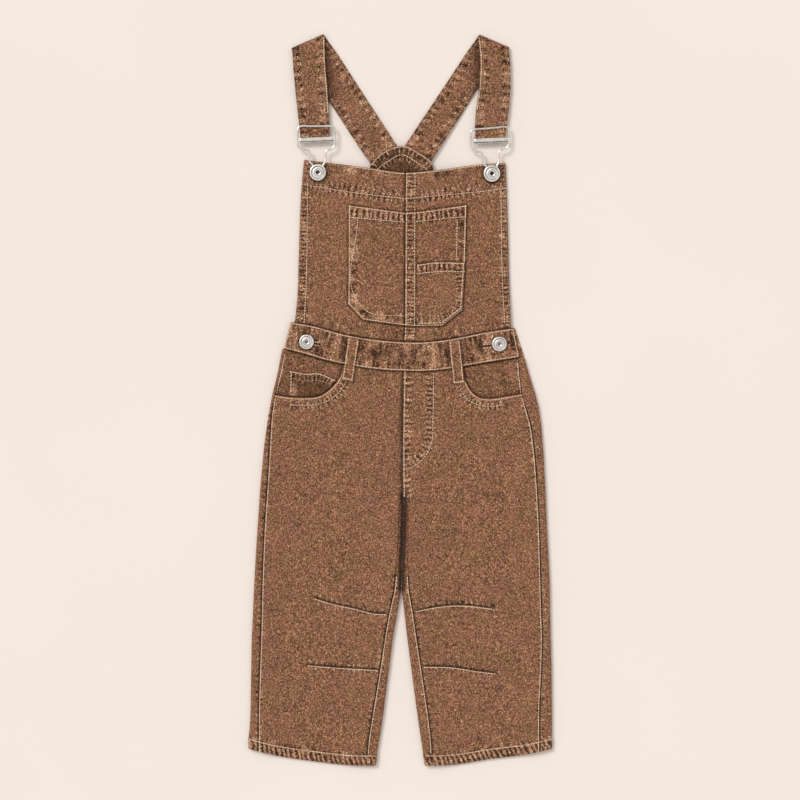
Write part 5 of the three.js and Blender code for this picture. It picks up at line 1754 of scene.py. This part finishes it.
        inner = left if not is_left else right
        outer = sharp(outline)
        seams = [pucker(shifted(hem, 0, 5.6), reach=6.0, wear=1.35, depth=0.34, pitch=5.5, rope=0.7),
                 Seam(hem, reach=3.0, wear=0.7, dark=0.45, dark_width=0.9, pitch=4)]
        centre = (7.0, 140.0)
        for a, b in outer:
            way = np.array([b[0] - a[0], b[1] - a[1]]) / math.dist(a, b)
            normal = np.array([-way[1], way[0]])
            normal *= np.sign(normal @ (np.array(centre) - np.array(a)))
            for inset, reach, wear in ((4.8, 5.0, 1.1), (9.6, 2.6, 0.6)):
                moved = [tuple(np.array(p) + normal * inset) for p in (a, b)]
                seams.append(Seam(
                    moved, reach=reach, wear=wear, depth=0.2, pitch=3.6, groove=0.12 if inset > 5 else 0.0
                ))
        if is_left:
            seams.append(Seam(shifted(inner, -0.3, 0), reach=3, wear=0.4, dark=0.9, dark_width=1.5))
        else:
            seams.append(pucker(
                shifted(inner, 5.3, 0), reach=6.0, wear=1.3, depth=0.3, pitch=4.4, rope=0.45
            ))
            seams.append(Seam(shifted(inner, 11.4, 0), reach=2.2, wear=0.4, dark=0.55, dark_width=0.9))
            small = [(17.3, 141.9), *SMALL_POCKET_TOP[1:]]
            seams.append(shade(shifted(small, 0, 0.5), reach=3, wear=0.5, dark=0.95, width=1.4))
        covered = None if is_left else (lambda x, y: 1.0 * ((x > 17.8) & (y < 141)))
        relief = Relief(seams, seed=85 if is_left else 87, wave=0.16, covered=covered)
        cloth = Cloth(
            f"bib_pocket_cloth_{side}", f"bib_pocket_{side}", "denim", (0.066, 0.127), 0.93,
            rests_on=(f"bib_{side}",)
        )
        cloth.lay(grid, us, vs, lambda x, y: bib_base(x, y) + DENIM + SEAM, thick, relief, finishes.denim)
        runs = self.pocket_runs(is_left, top, outer)
        cloth.stitch(f"bib_pocket_stitches_{side}", runs, finishes)

    def pocket_runs(self, is_left: bool, top: Line, outer: list[Line]) -> list[Run]:
        """Stitches on one half of the bib pocket."""
        runs = [Run(part, Stitch.EDGE, 1.2 if is_left else -1.2) for part in outer]
        runs.append(Run(top, Stitch.EDGE, -1.2))
        hem = POCKET_HEM_STITCH
        if is_left:
            runs += [Run([hem[0], (-44.6, 190.3)]), Run([(-44.6, 190.3), (4.5, 185.8)], Stitch.ROW)]
            runs.append(Run([(-44.6, 190.0), (-44.9, 103.5), (-36.0, 93.5), (4.0, 87.6)], Stitch.ROW))
        else:
            runs += [Run([(16, 186.4), (60, 191.0)], Stitch.ROW), Run([(60, 191.0), (69.0, 191.8)])]
            runs.append(Run([(6.5, 195.3), (6.1, 78.5)]))
            runs.append(Run([(15.3, 195.6), (14.9, 78.0)], Stitch.ROW))
            runs.append(Run([(59.9, 190.0), (58.8, 146.0)], Stitch.ROW))
        return runs

    def small_pocket(self, finishes: Finishes) -> None:
        """Builds the small pocket on the right half."""
        top = SMALL_POCKET_TOP
        bottom = [(17.5, 78.6), (44.0, 79.0), (64.4, 95.2)]
        left, right = [top[0], bottom[0]], [(67.6, 143.6), (67.3, 138.0), (64.4, 95.2)]
        us, vs = stops(50, 1.2), stops(64, 1.2)
        grid = flat_grid(smoothed(top), np.array(bottom), left, right, us, vs)
        hem: Line = [(16.7, 131.9), (40, 134.2), (68.3, 134.1)]

        def thick(x: Array, y: Array) -> Array:
            """Thickness, with the turned hem."""
            return DENIM - 0.2 + HEM_LIFT * ease(-0.6, 0.6, y - height_of(hem, x) + 0.4)

        seams = [
            pucker(shifted(top, 0, -4.6), reach=5.4, wear=1.35, depth=0.3, pitch=5.2, rope=0.7),
            Seam(hem, reach=3.0, wear=0.8, dark=0.45, dark_width=0.9),
            pucker(
                [(62.6, 140), (61.5, 97), (42.5, 83.5), (18, 83.2)], reach=6.0, wear=1.15, depth=0.2,
                pitch=4.6, rope=0.4
            ),
        ]
        relief = Relief(seams, seed=91, wave=0.12)
        cloth = Cloth(
            "small_pocket_cloth", "bib_pocket_small", "denim", (0.052, 0.066), 0.9,
            rests_on=("bib_pocket_right",)
        )
        cloth.lay(
            grid, us, vs, lambda x, y: bib_base(x, y) + 2 * DENIM + 2 * SEAM, thick, relief, finishes.denim
        )
        runs = [Run(top, Stitch.EDGE, -1.2), Run(hem, Stitch.ROW), Run([
            (66.3, 142), (66.1, 137.5), (63.3, 95.8)
        ]),
                Run([(63.3, 95.8), (43.6, 80.3)]), Run([(43.6, 80.3), (18.2, 79.8)]),
                Run([(57.6, 132), (56.4, 101), (40.8, 88.8), (18.2, 88.2)], Stitch.TONAL)]
        cloth.stitch("small_pocket_stitches", runs, finishes)

    def build(self, finishes: Finishes) -> None:
        """Builds the bib and its pockets."""
        for is_left in (True, False):
            self.half(is_left, finishes)
            self.pocket_half(is_left, finishes)
        self.small_pocket(finishes)


@dataclass
class Yoke:
    """The back bib and the facing that shows between the straps."""

    def back(self, finishes: Finishes) -> None:
        """Builds the back bib on the surface."""
        low = shifted(WAIST_TOP, 0, 2 * SEAM)
        left = [(-31.4, 246.2), (-36, 222), (-58, 170), (-88, 118), (-112, float(height_of(low, -112)))]
        right = [(33.2, 249.2), (38, 222), (60, 170), (90, 118), (115, float(height_of(low, 115)))]
        us, vs = stops(150, 2.4), stops(185, 2.4)
        grid = flat_grid(smoothed(shifted(YOKE_TOP, 0, -0.4)), between(low, -112, 115), left, right, us, vs)
        relief = Relief([
            Seam(shifted(YOKE_TOP, 0, -3), reach=4), Seam(left), Seam(right)
        ], seed=95, wave=0.1,
                        covered=level(1.0))
        cloth = Cloth("back_bib_cloth", "back_bib", "denim", (0.228, 0.2), 0.62)
        cloth.lay(grid, us, vs, level(0), level(DENIM), relief, finishes.denim)

    def facing(self, finishes: Finishes) -> None:
        """Builds the facing over the strap ends."""
        us, vs = stops(68, 1.2), stops(46, 1.2)
        grid = flat_grid(smoothed(YOKE_TOP), np.array([(-36, 212), (38, 212)]), [
            (-31.4, 246.6), (-36, 212)
        ],
                         [(33.2, 249.6), (38, 212)], us, vs)
        second = [(-27, 239.5), (-15, 248.5), (1.8, 256.8), (17, 249.0), (28.5, 241.0)]
        seams = [
            pucker(shifted(YOKE_TOP, 0, -5), reach=5.5, wear=1.4, depth=0.25, pitch=4.6, rope=0.5),
            Seam(second, reach=5.0, wear=1.3, depth=0.22, pitch=4.4, dark=0.5, rope=0.4),
            shade(shifted(BIB_TOP, 0, 0.3), reach=3, wear=0.3, dark=0.95, width=2.0),
        ]
        relief = Relief(seams, seed=97, wave=0.12, covered=lambda x, y: 1.0 * (y < 238))
        cloth = Cloth(
            "yoke_cloth", "yoke_facing", "denim_deep", (0.075, 0.055), 0.85,
            rests_on=("strap_left", "strap_right")
        )
        cloth.lay(grid, us, vs, level(YOKE_FACING_BASE), level(DENIM),
                           relief, finishes.deep)
        runs = [Run(YOKE_TOP, Stitch.EDGE, -1.2), Run(second, Stitch.ROW)]
        cloth.stitch("yoke_stitches", runs, finishes)


@dataclass
class Strap:
    """One shoulder strap: the run up from the yoke, the fold and the run down to the buckle."""

    side: str
    back_run: list[tuple[float, ...]]
    front_run: list[tuple[float, ...]]
    seed: int
    step: float = 1.5

    def rows(self) -> tuple[Array, Array, Array]:
        """Rows along the strap, whether each is on the back run, and the way out of the fold.

        Returns:
            Outer x and y, inner x and y, middle height, lean and rise of each row, the back
            flags, and the direction square to the fold.
        """
        half = STRAP_THICK / 2

        def run(table: list[tuple[float, ...]], rise: float) -> Array:
            """Even rows down one run."""
            t = np.asarray(table, float)
            mid = np.column_stack([(t[:, 0] + t[:, 2]) / 2, (t[:, 1] + t[:, 3]) / 2])
            at = lengths_along(mid)
            places = stops(at[-1], self.step) * at[-1]
            fine = np.column_stack([np.interp(places, at, t[:, k]) for k in range(5)])
            fine[:, 4] += half
            return np.column_stack([fine, 0 * places, rise + 0 * places])

        back, front = run(self.back_run, -1), run(self.front_run, 1)
        a, b = back[-1], front[0]
        up = np.array([-(a[3] - a[1]), a[2] - a[0]])
        up = up / np.hypot(*up) * (1 if up[1] > 0 else -1)
        radius = (b[4] - a[4]) / 2
        fold = []
        for angle in np.linspace(0, math.pi, 13)[1:-1]:
            share, reach = angle / math.pi, radius * 1.6 * math.sin(angle)
            row = mix(a, b, share)
            row[:4] += np.tile(up * reach, 2)
            row[4] = a[4] + radius * (1 - math.cos(angle))
            fold.append([*row[:5], math.sin(angle), -math.cos(angle)])
        rows = np.concatenate([back, np.asarray(fold), front])
        return rows, np.arange(len(rows)) < len(back) + 6, up

    def build(self, finishes: Finishes) -> None:
        """Builds the strap and its stitches."""
        rows, on_back, up = self.rows()
        width = math.dist(rows[0][:2], rows[0][2:4])
        us = stops(width, 1.45)
        outer, inner = rows[:, None, :2], rows[:, None, 2:4]
        flat = mix(outer, inner, us[None, :, None])
        along = lengths_along((rows[:, :2] + rows[:, 2:4]) / 2)
        s = along[:, None] + 0 * us[None, :]
        t = us[None, :] * width + 0 * s
        whole = along[-1]
        seams = [
            pucker([(0, 4.5), (whole, 4.5)], reach=4.6, wear=1.15, depth=0.22, pitch=8.5, rope=0.35),
            pucker(
                [(0, width - 4.5), (whole, width - 4.5)], reach=4.6, wear=1.15, depth=0.22, pitch=8.5,
                rope=0.35
            ),
        ]
        marks = Relief(seams, seed=self.seed, wave=0.16).marks(s, t)
        blotch = soft_noise(s / 11, t / 12, self.seed + 9)
        marks["wear"] += 0.3 * blotch
        marks["band"] = np.maximum(marks["band"], 0.42)
        # Painted shadow that the front run casts on the back run beside the fold
        edge = np.asarray([(r[2], r[3]) for r in self.front_run])
        x, y = flat[..., 0], flat[..., 1]
        shade = Seam([tuple(p) for p in edge]).nearest(x.ravel(), y.ravel())[0].reshape(x.shape)
        marks["dark"] = np.maximum(
            marks["dark"], np.where(on_back[:, None], 0.85 * np.exp(-((shade / 9) ** 2)), 0)
        )
        inside = np.minimum(us, 1 - us)[None, :] * width + 0 * s
        rim = (1 - np.clip(inside / EDGE_ROUND, 0, 1)) ** 2
        half = STRAP_THICK / 2 - 0.35 * rim
        lean, rise, z = rows[:, 5:6], rows[:, 6:7], rows[:, 4:5]
        lift = marks["lift"] * np.clip(inside, 0, 1)

        def face(side: int) -> Array:
            """Points of one face."""
            grow = side * half + np.where(side * rise > 0, lift * side, 0)
            px = flat[..., 0] + grow * lean * up[0]
            py = flat[..., 1] + grow * lean * up[1]
            return np.stack([px, py, np.maximum(z + grow * rise, 0)], axis=-1)

        length = whole * MM
        cloth = Cloth(f"strap_cloth_{self.side}", f"strap_{self.side}", "denim", (width * MM, length),
                      held="folded", rests_on=("back_bib",))
        cloth.sew(face(1), face(-1), marks, finishes.denim)
        cloth.stitch(f"strap_stitches_{self.side}", self.runs(), finishes)

    def runs(self) -> list[Run]:
        """Stitches along both edges of both runs."""
        front, back = np.asarray(self.front_run), np.asarray(self.back_run)

        def inset(table: Array, by: float) -> Line:
            """Line at a distance in millimetres from the outer edge, or from the inner one if negative."""
            way = table[:, 2:4] - table[:, :2]
            size = np.hypot(way[:, 0], way[:, 1])[:, None]
            start = table[:, :2] if by > 0 else table[:, 2:4]
            return [tuple(p) for p in start + way / size * by]

        return [
            Run(inset(front, 3.0)[:-1], Stitch.TONAL), Run(inset(front, -3.4)[:-1], Stitch.TONAL),
            Run(inset(front, -1.1)[:4], Stitch.EDGE),
            Run(inset(back, 3.0)[1:6], Stitch.TONAL), Run(inset(back, -3.2)[1:], Stitch.TONAL),
        ]


# Face of a button from the rim to the hole. Columns: share of the radius, height over the head's base
BUTTON_HEAD = [
    (0.86, 0), (0.93, 0.1), (0.98, 0.35), (1, 0.8), (0.985, 1.05), (0.95, 1.25), (0.9, 1.4), (0.84, 1.45),
    (0.79, 1.4), (0.76, 1.28), (0.7, 1.18), (0.62, 1.15), (0.57, 1.25), (0.52, 1.4), (0.46, 1.46),
    (0.4, 1.45), (0.33, 1.38), (0.26, 1.2), (0.22, 0.95), (0.19, 0.75), (0.1, 0.7), (0.02, 0.7),
]
TROUGH_RINGS = (11, 12, 17)  # rings of the turned profile in the troughs of the face
HUB_RINGS = 5  # rings round the hole in the middle
# The second button finish is near-black painted shade
CAP, PAINTED_SHADE, DULL = range(3)  # finishes of a button, in order
SHANK_RADIUS = 2.4
WIRE_RADIUS = 1.05
WIRE_SIDES = 12
BAR_HALF = 2.7
BAR_THICK = 1.4
BAR_ROWS = 15
# Rows of the bar painted dark: painted shade and dark reflection on its lower slope
BAR_SHADE_ROWS = (10, 11)  # rows of the bar that lie dark
BUCKLE_Z = STRAP_FRONT_BASE + STRAP_THICK + SEAM + WIRE_RADIUS


@dataclass
class Button:
    """A plain ringed shank button with a small hole in the middle."""

    name: str
    centre: Point
    radius: float
    low: float
    head: float
    hub: int = DULL
    sides: int = 56

    def build(self, finishes: Finishes) -> None:
        """Turns the button."""
        profile = [(0.02, self.low), (SHANK_RADIUS, self.low), (SHANK_RADIUS, self.head)]
        profile += [(share * self.radius, self.head + height) for share, height in BUTTON_HEAD]
        angle = 2 * np.pi * np.arange(self.sides) / self.sides
        cx, cy = self.centre
        rings = [
            np.column_stack([cx + r * np.cos(angle), cy + r * np.sin(angle), z + 0 * angle]) for r,
            z in profile
        ]
        points = np.concatenate(rings)
        k = np.arange(self.sides)
        n = (k + 1) % self.sides
        faces = [np.stack(
            [i * self.sides + k, i * self.sides + n, (i + 1) * self.sides + n, (i + 1) * self.sides + k], 1
        )
                 for i in range(len(profile) - 1)]
        evens = np.arange(0, self.sides - 2, 2)
        for start in (0, (len(profile) - 1) * self.sides):
            cap = np.stack(
                [0 * evens, evens + 1, evens + 2, np.minimum(evens + 3, self.sides - 1)], 1
            )[:-1] + start
            faces.append(cap if start else cap[:, ::-1])
        faces_all = outward(points - points.mean(axis=0), np.concatenate(faces))
        thing = mesh_object(f"{self.name}_cap", points, faces_all, finishes.cap)
        for look in (finishes.painted_shade_metal, finishes.dull):
            thing.data.materials.append(look)
        ring_of = np.minimum(faces_all.min(axis=1) // self.sides, len(profile))
        # The hub of a bib button is painted dark as the shade in its hole
        looks = np.where(ring_of >= len(profile) - HUB_RINGS, self.hub, CAP)
        looks = np.where(np.isin(ring_of, TROUGH_RINGS), DULL, looks).astype(np.int32)
        thing.data.polygons.foreach_set("material_index", looks)
        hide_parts(self.name)


# Wire frames of the buckles, from the button's centre: down the right side, round the shank, up the
# left side and back along the straight top.
LEFT_WIRE: Line = [
    (13.7, 48.7), (16.1, 47.9), (17.5, 45.5), (17.9, 41.4), (17.9, 31.9), (17.3, 28.3), (15.3, 25.6),
    (12, 24.2), (9.5, 23.1), (8.2, 20.7), (8.6, 17.1), (8.8, 14.1), (7.5, 10.8), (5.3, 7.3),
    (5.9, 3.2), (5.9, -0.4), (4.3, -4.3), (0, -6.1), (-4.3, -4.3), (-5.9, -0.4), (-5.9, 3.2),
    (-5.5, 7.3), (-7.9, 10.9), (-9.6, 14.1), (-9.1, 17.3), (-8.5, 20.3), (-9.7, 22.6), (-12.4, 23.7),
    (-16.4, 24.4), (-19.5, 26), (-21, 28.9), (-21.4, 32.9), (-21.4, 41.4), (-21, 45.7), (-19.7, 48),
    (-17.5, 48.7), (-8, 48.7), (4, 48.7),
]
RIGHT_WIRE: Line = [
    (14.3, 49), (16.5, 48.3), (17.7, 46), (18, 42.4), (18, 33.6), (17.4, 29.6), (15.5, 26.8),
    (12.5, 25.3), (9.4, 24.6), (7.7, 22.6), (7.4, 19), (7.9, 14.4), (6.9, 11.2), (5.2, 7.8),
    (5.9, 3.4), (5.9, -0.4), (4.3, -4.3), (0, -6.1), (-4.3, -4.3), (-5.9, -0.4), (-5.9, 3),
    (-5.7, 6.8), (-7.9, 9.6), (-9.3, 12.8), (-9.5, 16.6), (-9.8, 20.2), (-11.3, 22.2), (-14.9, 22.9),
    (-18.5, 23.7), (-20.9, 25.8), (-21.9, 29), (-22.2, 33.6), (-22.2, 40.4), (-21.7, 43.9),
    (-20.3, 45.8), (-17.9, 46.4), (-7.1, 47.3), (3.9, 48.2),
]


@dataclass
class Buckle:
    """Wire frame and flat bar of a buckle that hooks on a bib button."""

    side: str
    button: Point
    wire: Line
    bar: tuple[float, float, float, float]

    def frame(self, finishes: Finishes) -> None:
        """Bends the wire."""
        line = [(self.button[0] + x, self.button[1] + y) for x, y in self.wire]
        closed = smoothed([*line[-2:], *line, *line[:3]], 0.55)
        first = np.hypot(*(closed - np.array(line[0])).T)
        start = first[:len(closed) // 2].argmin()
        end = len(closed) // 2 + first[len(closed) // 2:].argmin()
        kept = closed[start:end]
        way = np.roll(kept, -1, axis=0) - np.roll(kept, 1, axis=0)
        way /= np.hypot(way[:, 0], way[:, 1])[:, None]
        across = np.stack([-way[:, 1], way[:, 0]], axis=1)
        sides = WIRE_SIDES
        rings = []
        for k in range(sides):
            angle = 2 * math.pi * k / sides
            rings.append(np.column_stack([kept + across * WIRE_RADIUS * math.cos(angle),
                                          BUCKLE_Z + WIRE_RADIUS * math.sin(angle) + 0 * kept[:, 0]]))
        points = np.stack(rings, axis=1).reshape(-1, 3)
        count = len(kept)
        i = np.repeat(np.arange(count), sides)
        k = np.tile(np.arange(sides), count)
        a, b = i * sides + k, i * sides + (k + 1) % sides
        c, d = (i + 1) % count * sides + (k + 1) % sides, (i + 1) % count * sides + k
        thing = mesh_object(
            f"buckle_wire_{self.side}", points, outward(points, np.stack([a, b, c, d], 1)), finishes.nickel
        )
        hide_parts(f"buckle_frame_{self.side}")

    def slide(self, finishes: Finishes) -> None:
        """Builds the flat polished bar."""
        left, right, y, tilt = self.bar
        us, vs = stops(right - left, 0.8), np.linspace(0, 1, BAR_ROWS)
        top, bottom = (
            np.array([(left, y + rise + tilt), (right, y + rise - tilt)]) for rise in (BAR_HALF, -BAR_HALF)
        )
        grid = flat_grid(
            top, bottom, [tuple(top[0]), tuple(bottom[0])], [tuple(top[1]), tuple(bottom[1])], us, vs
        )
        base = STRAP_FRONT_BASE + STRAP_THICK + SEAM
        inside = np.minimum(us, 1 - us)[None, :] * (right - left)
        ends = 0.55 + 0.45 * np.sqrt(np.clip(1 - (1 - np.clip(inside / EDGE_ROUND, 0, 1)) ** 2, 0, 1))
        crown = BAR_THICK * (0.45 + 0.55 * np.sin(np.pi * vs))[:, None] * ends
        x, yy = grid[..., 0], grid[..., 1]
        upper = np.stack([x, yy, base + crown], axis=-1)
        lower = np.stack([x, yy, base + 0 * x], axis=-1)
        points = np.concatenate([upper.reshape(-1, 3), lower.reshape(-1, 3)])
        faces = outward(points - points.mean(axis=0), closed_faces(len(vs), len(us)))
        thing = mesh_object(f"buckle_slide_{self.side}", points, faces, finishes.nickel)
        thing.data.materials.append(finishes.painted_shade_metal)
        row = faces.min(axis=1) // len(us)
        # The bar has no groove: these rows are painted dark as shade and reflection
        groove = (faces.max(axis=1) < grid.shape[0] * grid.shape[1]) & np.isin(row, BAR_SHADE_ROWS)
        thing.data.polygons.foreach_set("material_index", groove.astype(np.int32))
        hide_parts(f"buckle_bar_{self.side}")


@dataclass
class Fittings:
    """Buttons and buckles."""

    def build(self, finishes: Finishes) -> None:
        """Builds every metal piece."""
        low = BACK_TOP + DENIM + HEM_LIFT + SEAM
        head = BUCKLE_Z + WIRE_RADIUS + SEAM
        for side, centre in zip(SIDES, (LEFT_BUTTON, RIGHT_BUTTON)):
            Button(f"bib_button_{side}", centre, BIB_BUTTON_RADIUS, low, head, PAINTED_SHADE).build(finishes)
        low, head = BAND_TOP + SEAM, BAND_TOP + 1.5
        for side, centre in zip(SIDES, WAIST_BUTTONS):
            Button(f"waist_button_{side}", centre, WAIST_BUTTON_RADIUS, low, head).build(finishes)
        for buckle in (
            Buckle("left", LEFT_BUTTON, LEFT_WIRE, (-105.6, -70.6, 272.6, -0.8)),
            Buckle("right", RIGHT_BUTTON, RIGHT_WIRE, (77.4, 112.6, 271.7, -0.7)),
        ):
            buckle.frame(finishes)
            buckle.slide(finishes)


@dataclass
class Studio:
    """Pale floor, soft light from the upper left and the camera straight above."""

    pixel: float = 1.05
    frame_pixels: int = 800
    lens: float = 85.0
    sensor: float = 36.0
    centre: Point = (-0.3, -0.5)
    face_height: float = 5.0

    def floor(self) -> None:
        """Lays the pale paper."""
        size = 4000.0
        points = np.array([
            (-size, -size, -0.15), (size, -size, -0.15), (size, size, -0.15), (-size, size, -0.15)
        ])
        material, nodes, shader = new_material("pale_paper")
        place = nodes.add("TexCoord").outputs["Object"]
        drift = nodes.ramp(nodes.noise(place, 3.0, 2.0), 0.3, 0.7)
        nodes.link(
            nodes.colour(drift, paint(249, 238, 229), paint(247, 236, 227)), shader.inputs["Base Color"]
        )
        shader.inputs["Roughness"].default_value = 0.95
        shader.inputs["Specular IOR Level"].default_value = 0.1
        mesh = bpy.data.meshes.new("floor_sheet")
        mesh.from_pydata((points * MM).tolist(), [], [(0, 1, 2, 3)])
        mesh.materials.append(material)
        floor = bpy.data.objects.new("floor_sheet", mesh)
        bpy.context.scene.collection.objects.link(floor)

    def light(self) -> None:
        """Sets the soft light."""
        world = bpy.data.worlds.new("soft_room")
        world.use_nodes = True
        back = world.node_tree.nodes["Background"]
        back.inputs["Color"].default_value = (1.0, 0.985, 0.97, 1.0)
        back.inputs["Strength"].default_value = 0.655
        bpy.context.scene.world = world
        sun = bpy.data.lights.new("window", "SUN")
        sun.energy = 1.45
        sun.angle = math.radians(24)
        lamp = bpy.data.objects.new("window", sun)
        lamp.rotation_euler = (math.radians(-30), math.radians(-36), 0)
        bpy.context.scene.collection.objects.link(lamp)

    def camera(self) -> None:
        """Hangs the camera over the garment."""
        width = self.pixel * self.frame_pixels
        distance = width * self.lens / self.sensor
        data = bpy.data.cameras.new("overhead")
        data.lens = self.lens
        data.sensor_width = self.sensor
        data.clip_end = 20
        camera = bpy.data.objects.new("overhead", data)
        camera.location = (self.centre[0] * MM, self.centre[1] * MM, (distance + self.face_height) * MM)
        bpy.context.scene.collection.objects.link(camera)
        bpy.context.scene.camera = camera

    def build(self) -> None:
        """Sets up floor, light and camera."""
        bpy.context.scene.view_settings.view_transform = "Standard"
        self.floor()
        self.light()
        self.camera()


LEFT_CREASES = [
    Crease([(-4, -92), (-30, -80), (-62, -74)], 5.0, 0.5), Crease(
        [(-5, -104), (-34, -104), (-60, -112)], 5.5, 0.5
    ),
    Crease([(-6, -120), (-30, -134), (-48, -156)], 6.0, 0.45), Crease(
        [(-128, -30), (-108, -60), (-98, -96)], 7.0, 0.35
    ),
    Crease(
        [(-120, -190), (-100, -205), (-84, -230)], 7.0, 0.35
    ), Crease([(-40, -235), (-62, -244), (-90, -246)], 6.0, 0.4),
    Crease([(-60, -300), (-82, -322), (-92, -348)], 7.0, 0.35), Crease(
        [(-128, -262), (-122, -300), (-126, -334)], 6.5, 0.35
    ),
]
RIGHT_CREASES = [
    Crease([(6, -94), (34, -84), (66, -80)], 5.0, 0.5), Crease(
        [(8, -106), (36, -108), (58, -118)], 5.5, 0.45
    ),
    Crease([(9, -124), (32, -140), (50, -164)], 6.0, 0.45), Crease(
        [(126, -34), (112, -62), (104, -100)], 7.0, 0.35
    ),
    Crease(
        [(122, -186), (104, -202), (90, -226)], 7.0, 0.35
    ), Crease([(36, -238), (58, -248), (84, -250)], 6.0, 0.4),
    Crease([(52, -304), (74, -322), (86, -350)], 7.0, 0.35), Crease(
        [(128, -258), (124, -298), (128, -330)], 6.5, 0.35
    ),
]
BACK_CREASES = {
    "left": [
        Crease([(-8, -96), (-40, -106), (-70, -104)], 6.0, 0.3),
        Crease([(-30, -230), (-66, -238), (-110, -228)], 6.0, 0.3)
    ],
    "right": [
        Crease([(8, -98), (38, -110), (66, -108)], 6.0, 0.3),
        Crease([(32, -236), (70, -240), (112, -234)], 6.0, 0.3)
    ],
}


def main() -> None:
    """Builds the garment and the studio."""
    logging.basicConfig(level=logging.INFO, format="%(name)s: %(message)s")
    finishes = Finishes()
    legs = (
        Leg("left", LEFT_LEG, -1, LEFT_SCOOP, LEFT_TUCKS, LEFT_CREASES, BACK_CREASES["left"], 21),
        Leg("right", RIGHT_LEG, 1, RIGHT_SCOOP, RIGHT_TUCKS, RIGHT_CREASES, BACK_CREASES["right"], 24),
    )
    for leg in legs:
        leg.back(finishes)
        leg.front(finishes)
    left_hip = Hip("left", LEFT_LEG, -1, -50, 51)
    left_hip.facing(finishes)
    left_hip.coin_pocket(finishes)
    Hip("right", RIGHT_LEG, 1, 56, 53).facing(finishes)
    Waist().build(finishes)
    Yoke().back(finishes)
    for side, runs, seed in (("left", LEFT_STRAP, 101), ("right", RIGHT_STRAP, 103)):
        Strap(side, *runs, seed).build(finishes)
    Yoke().facing(finishes)
    Bib().build(finishes)
    Fittings().build(finishes)
    Studio().build()


if __name__ == "__main__":
    main()
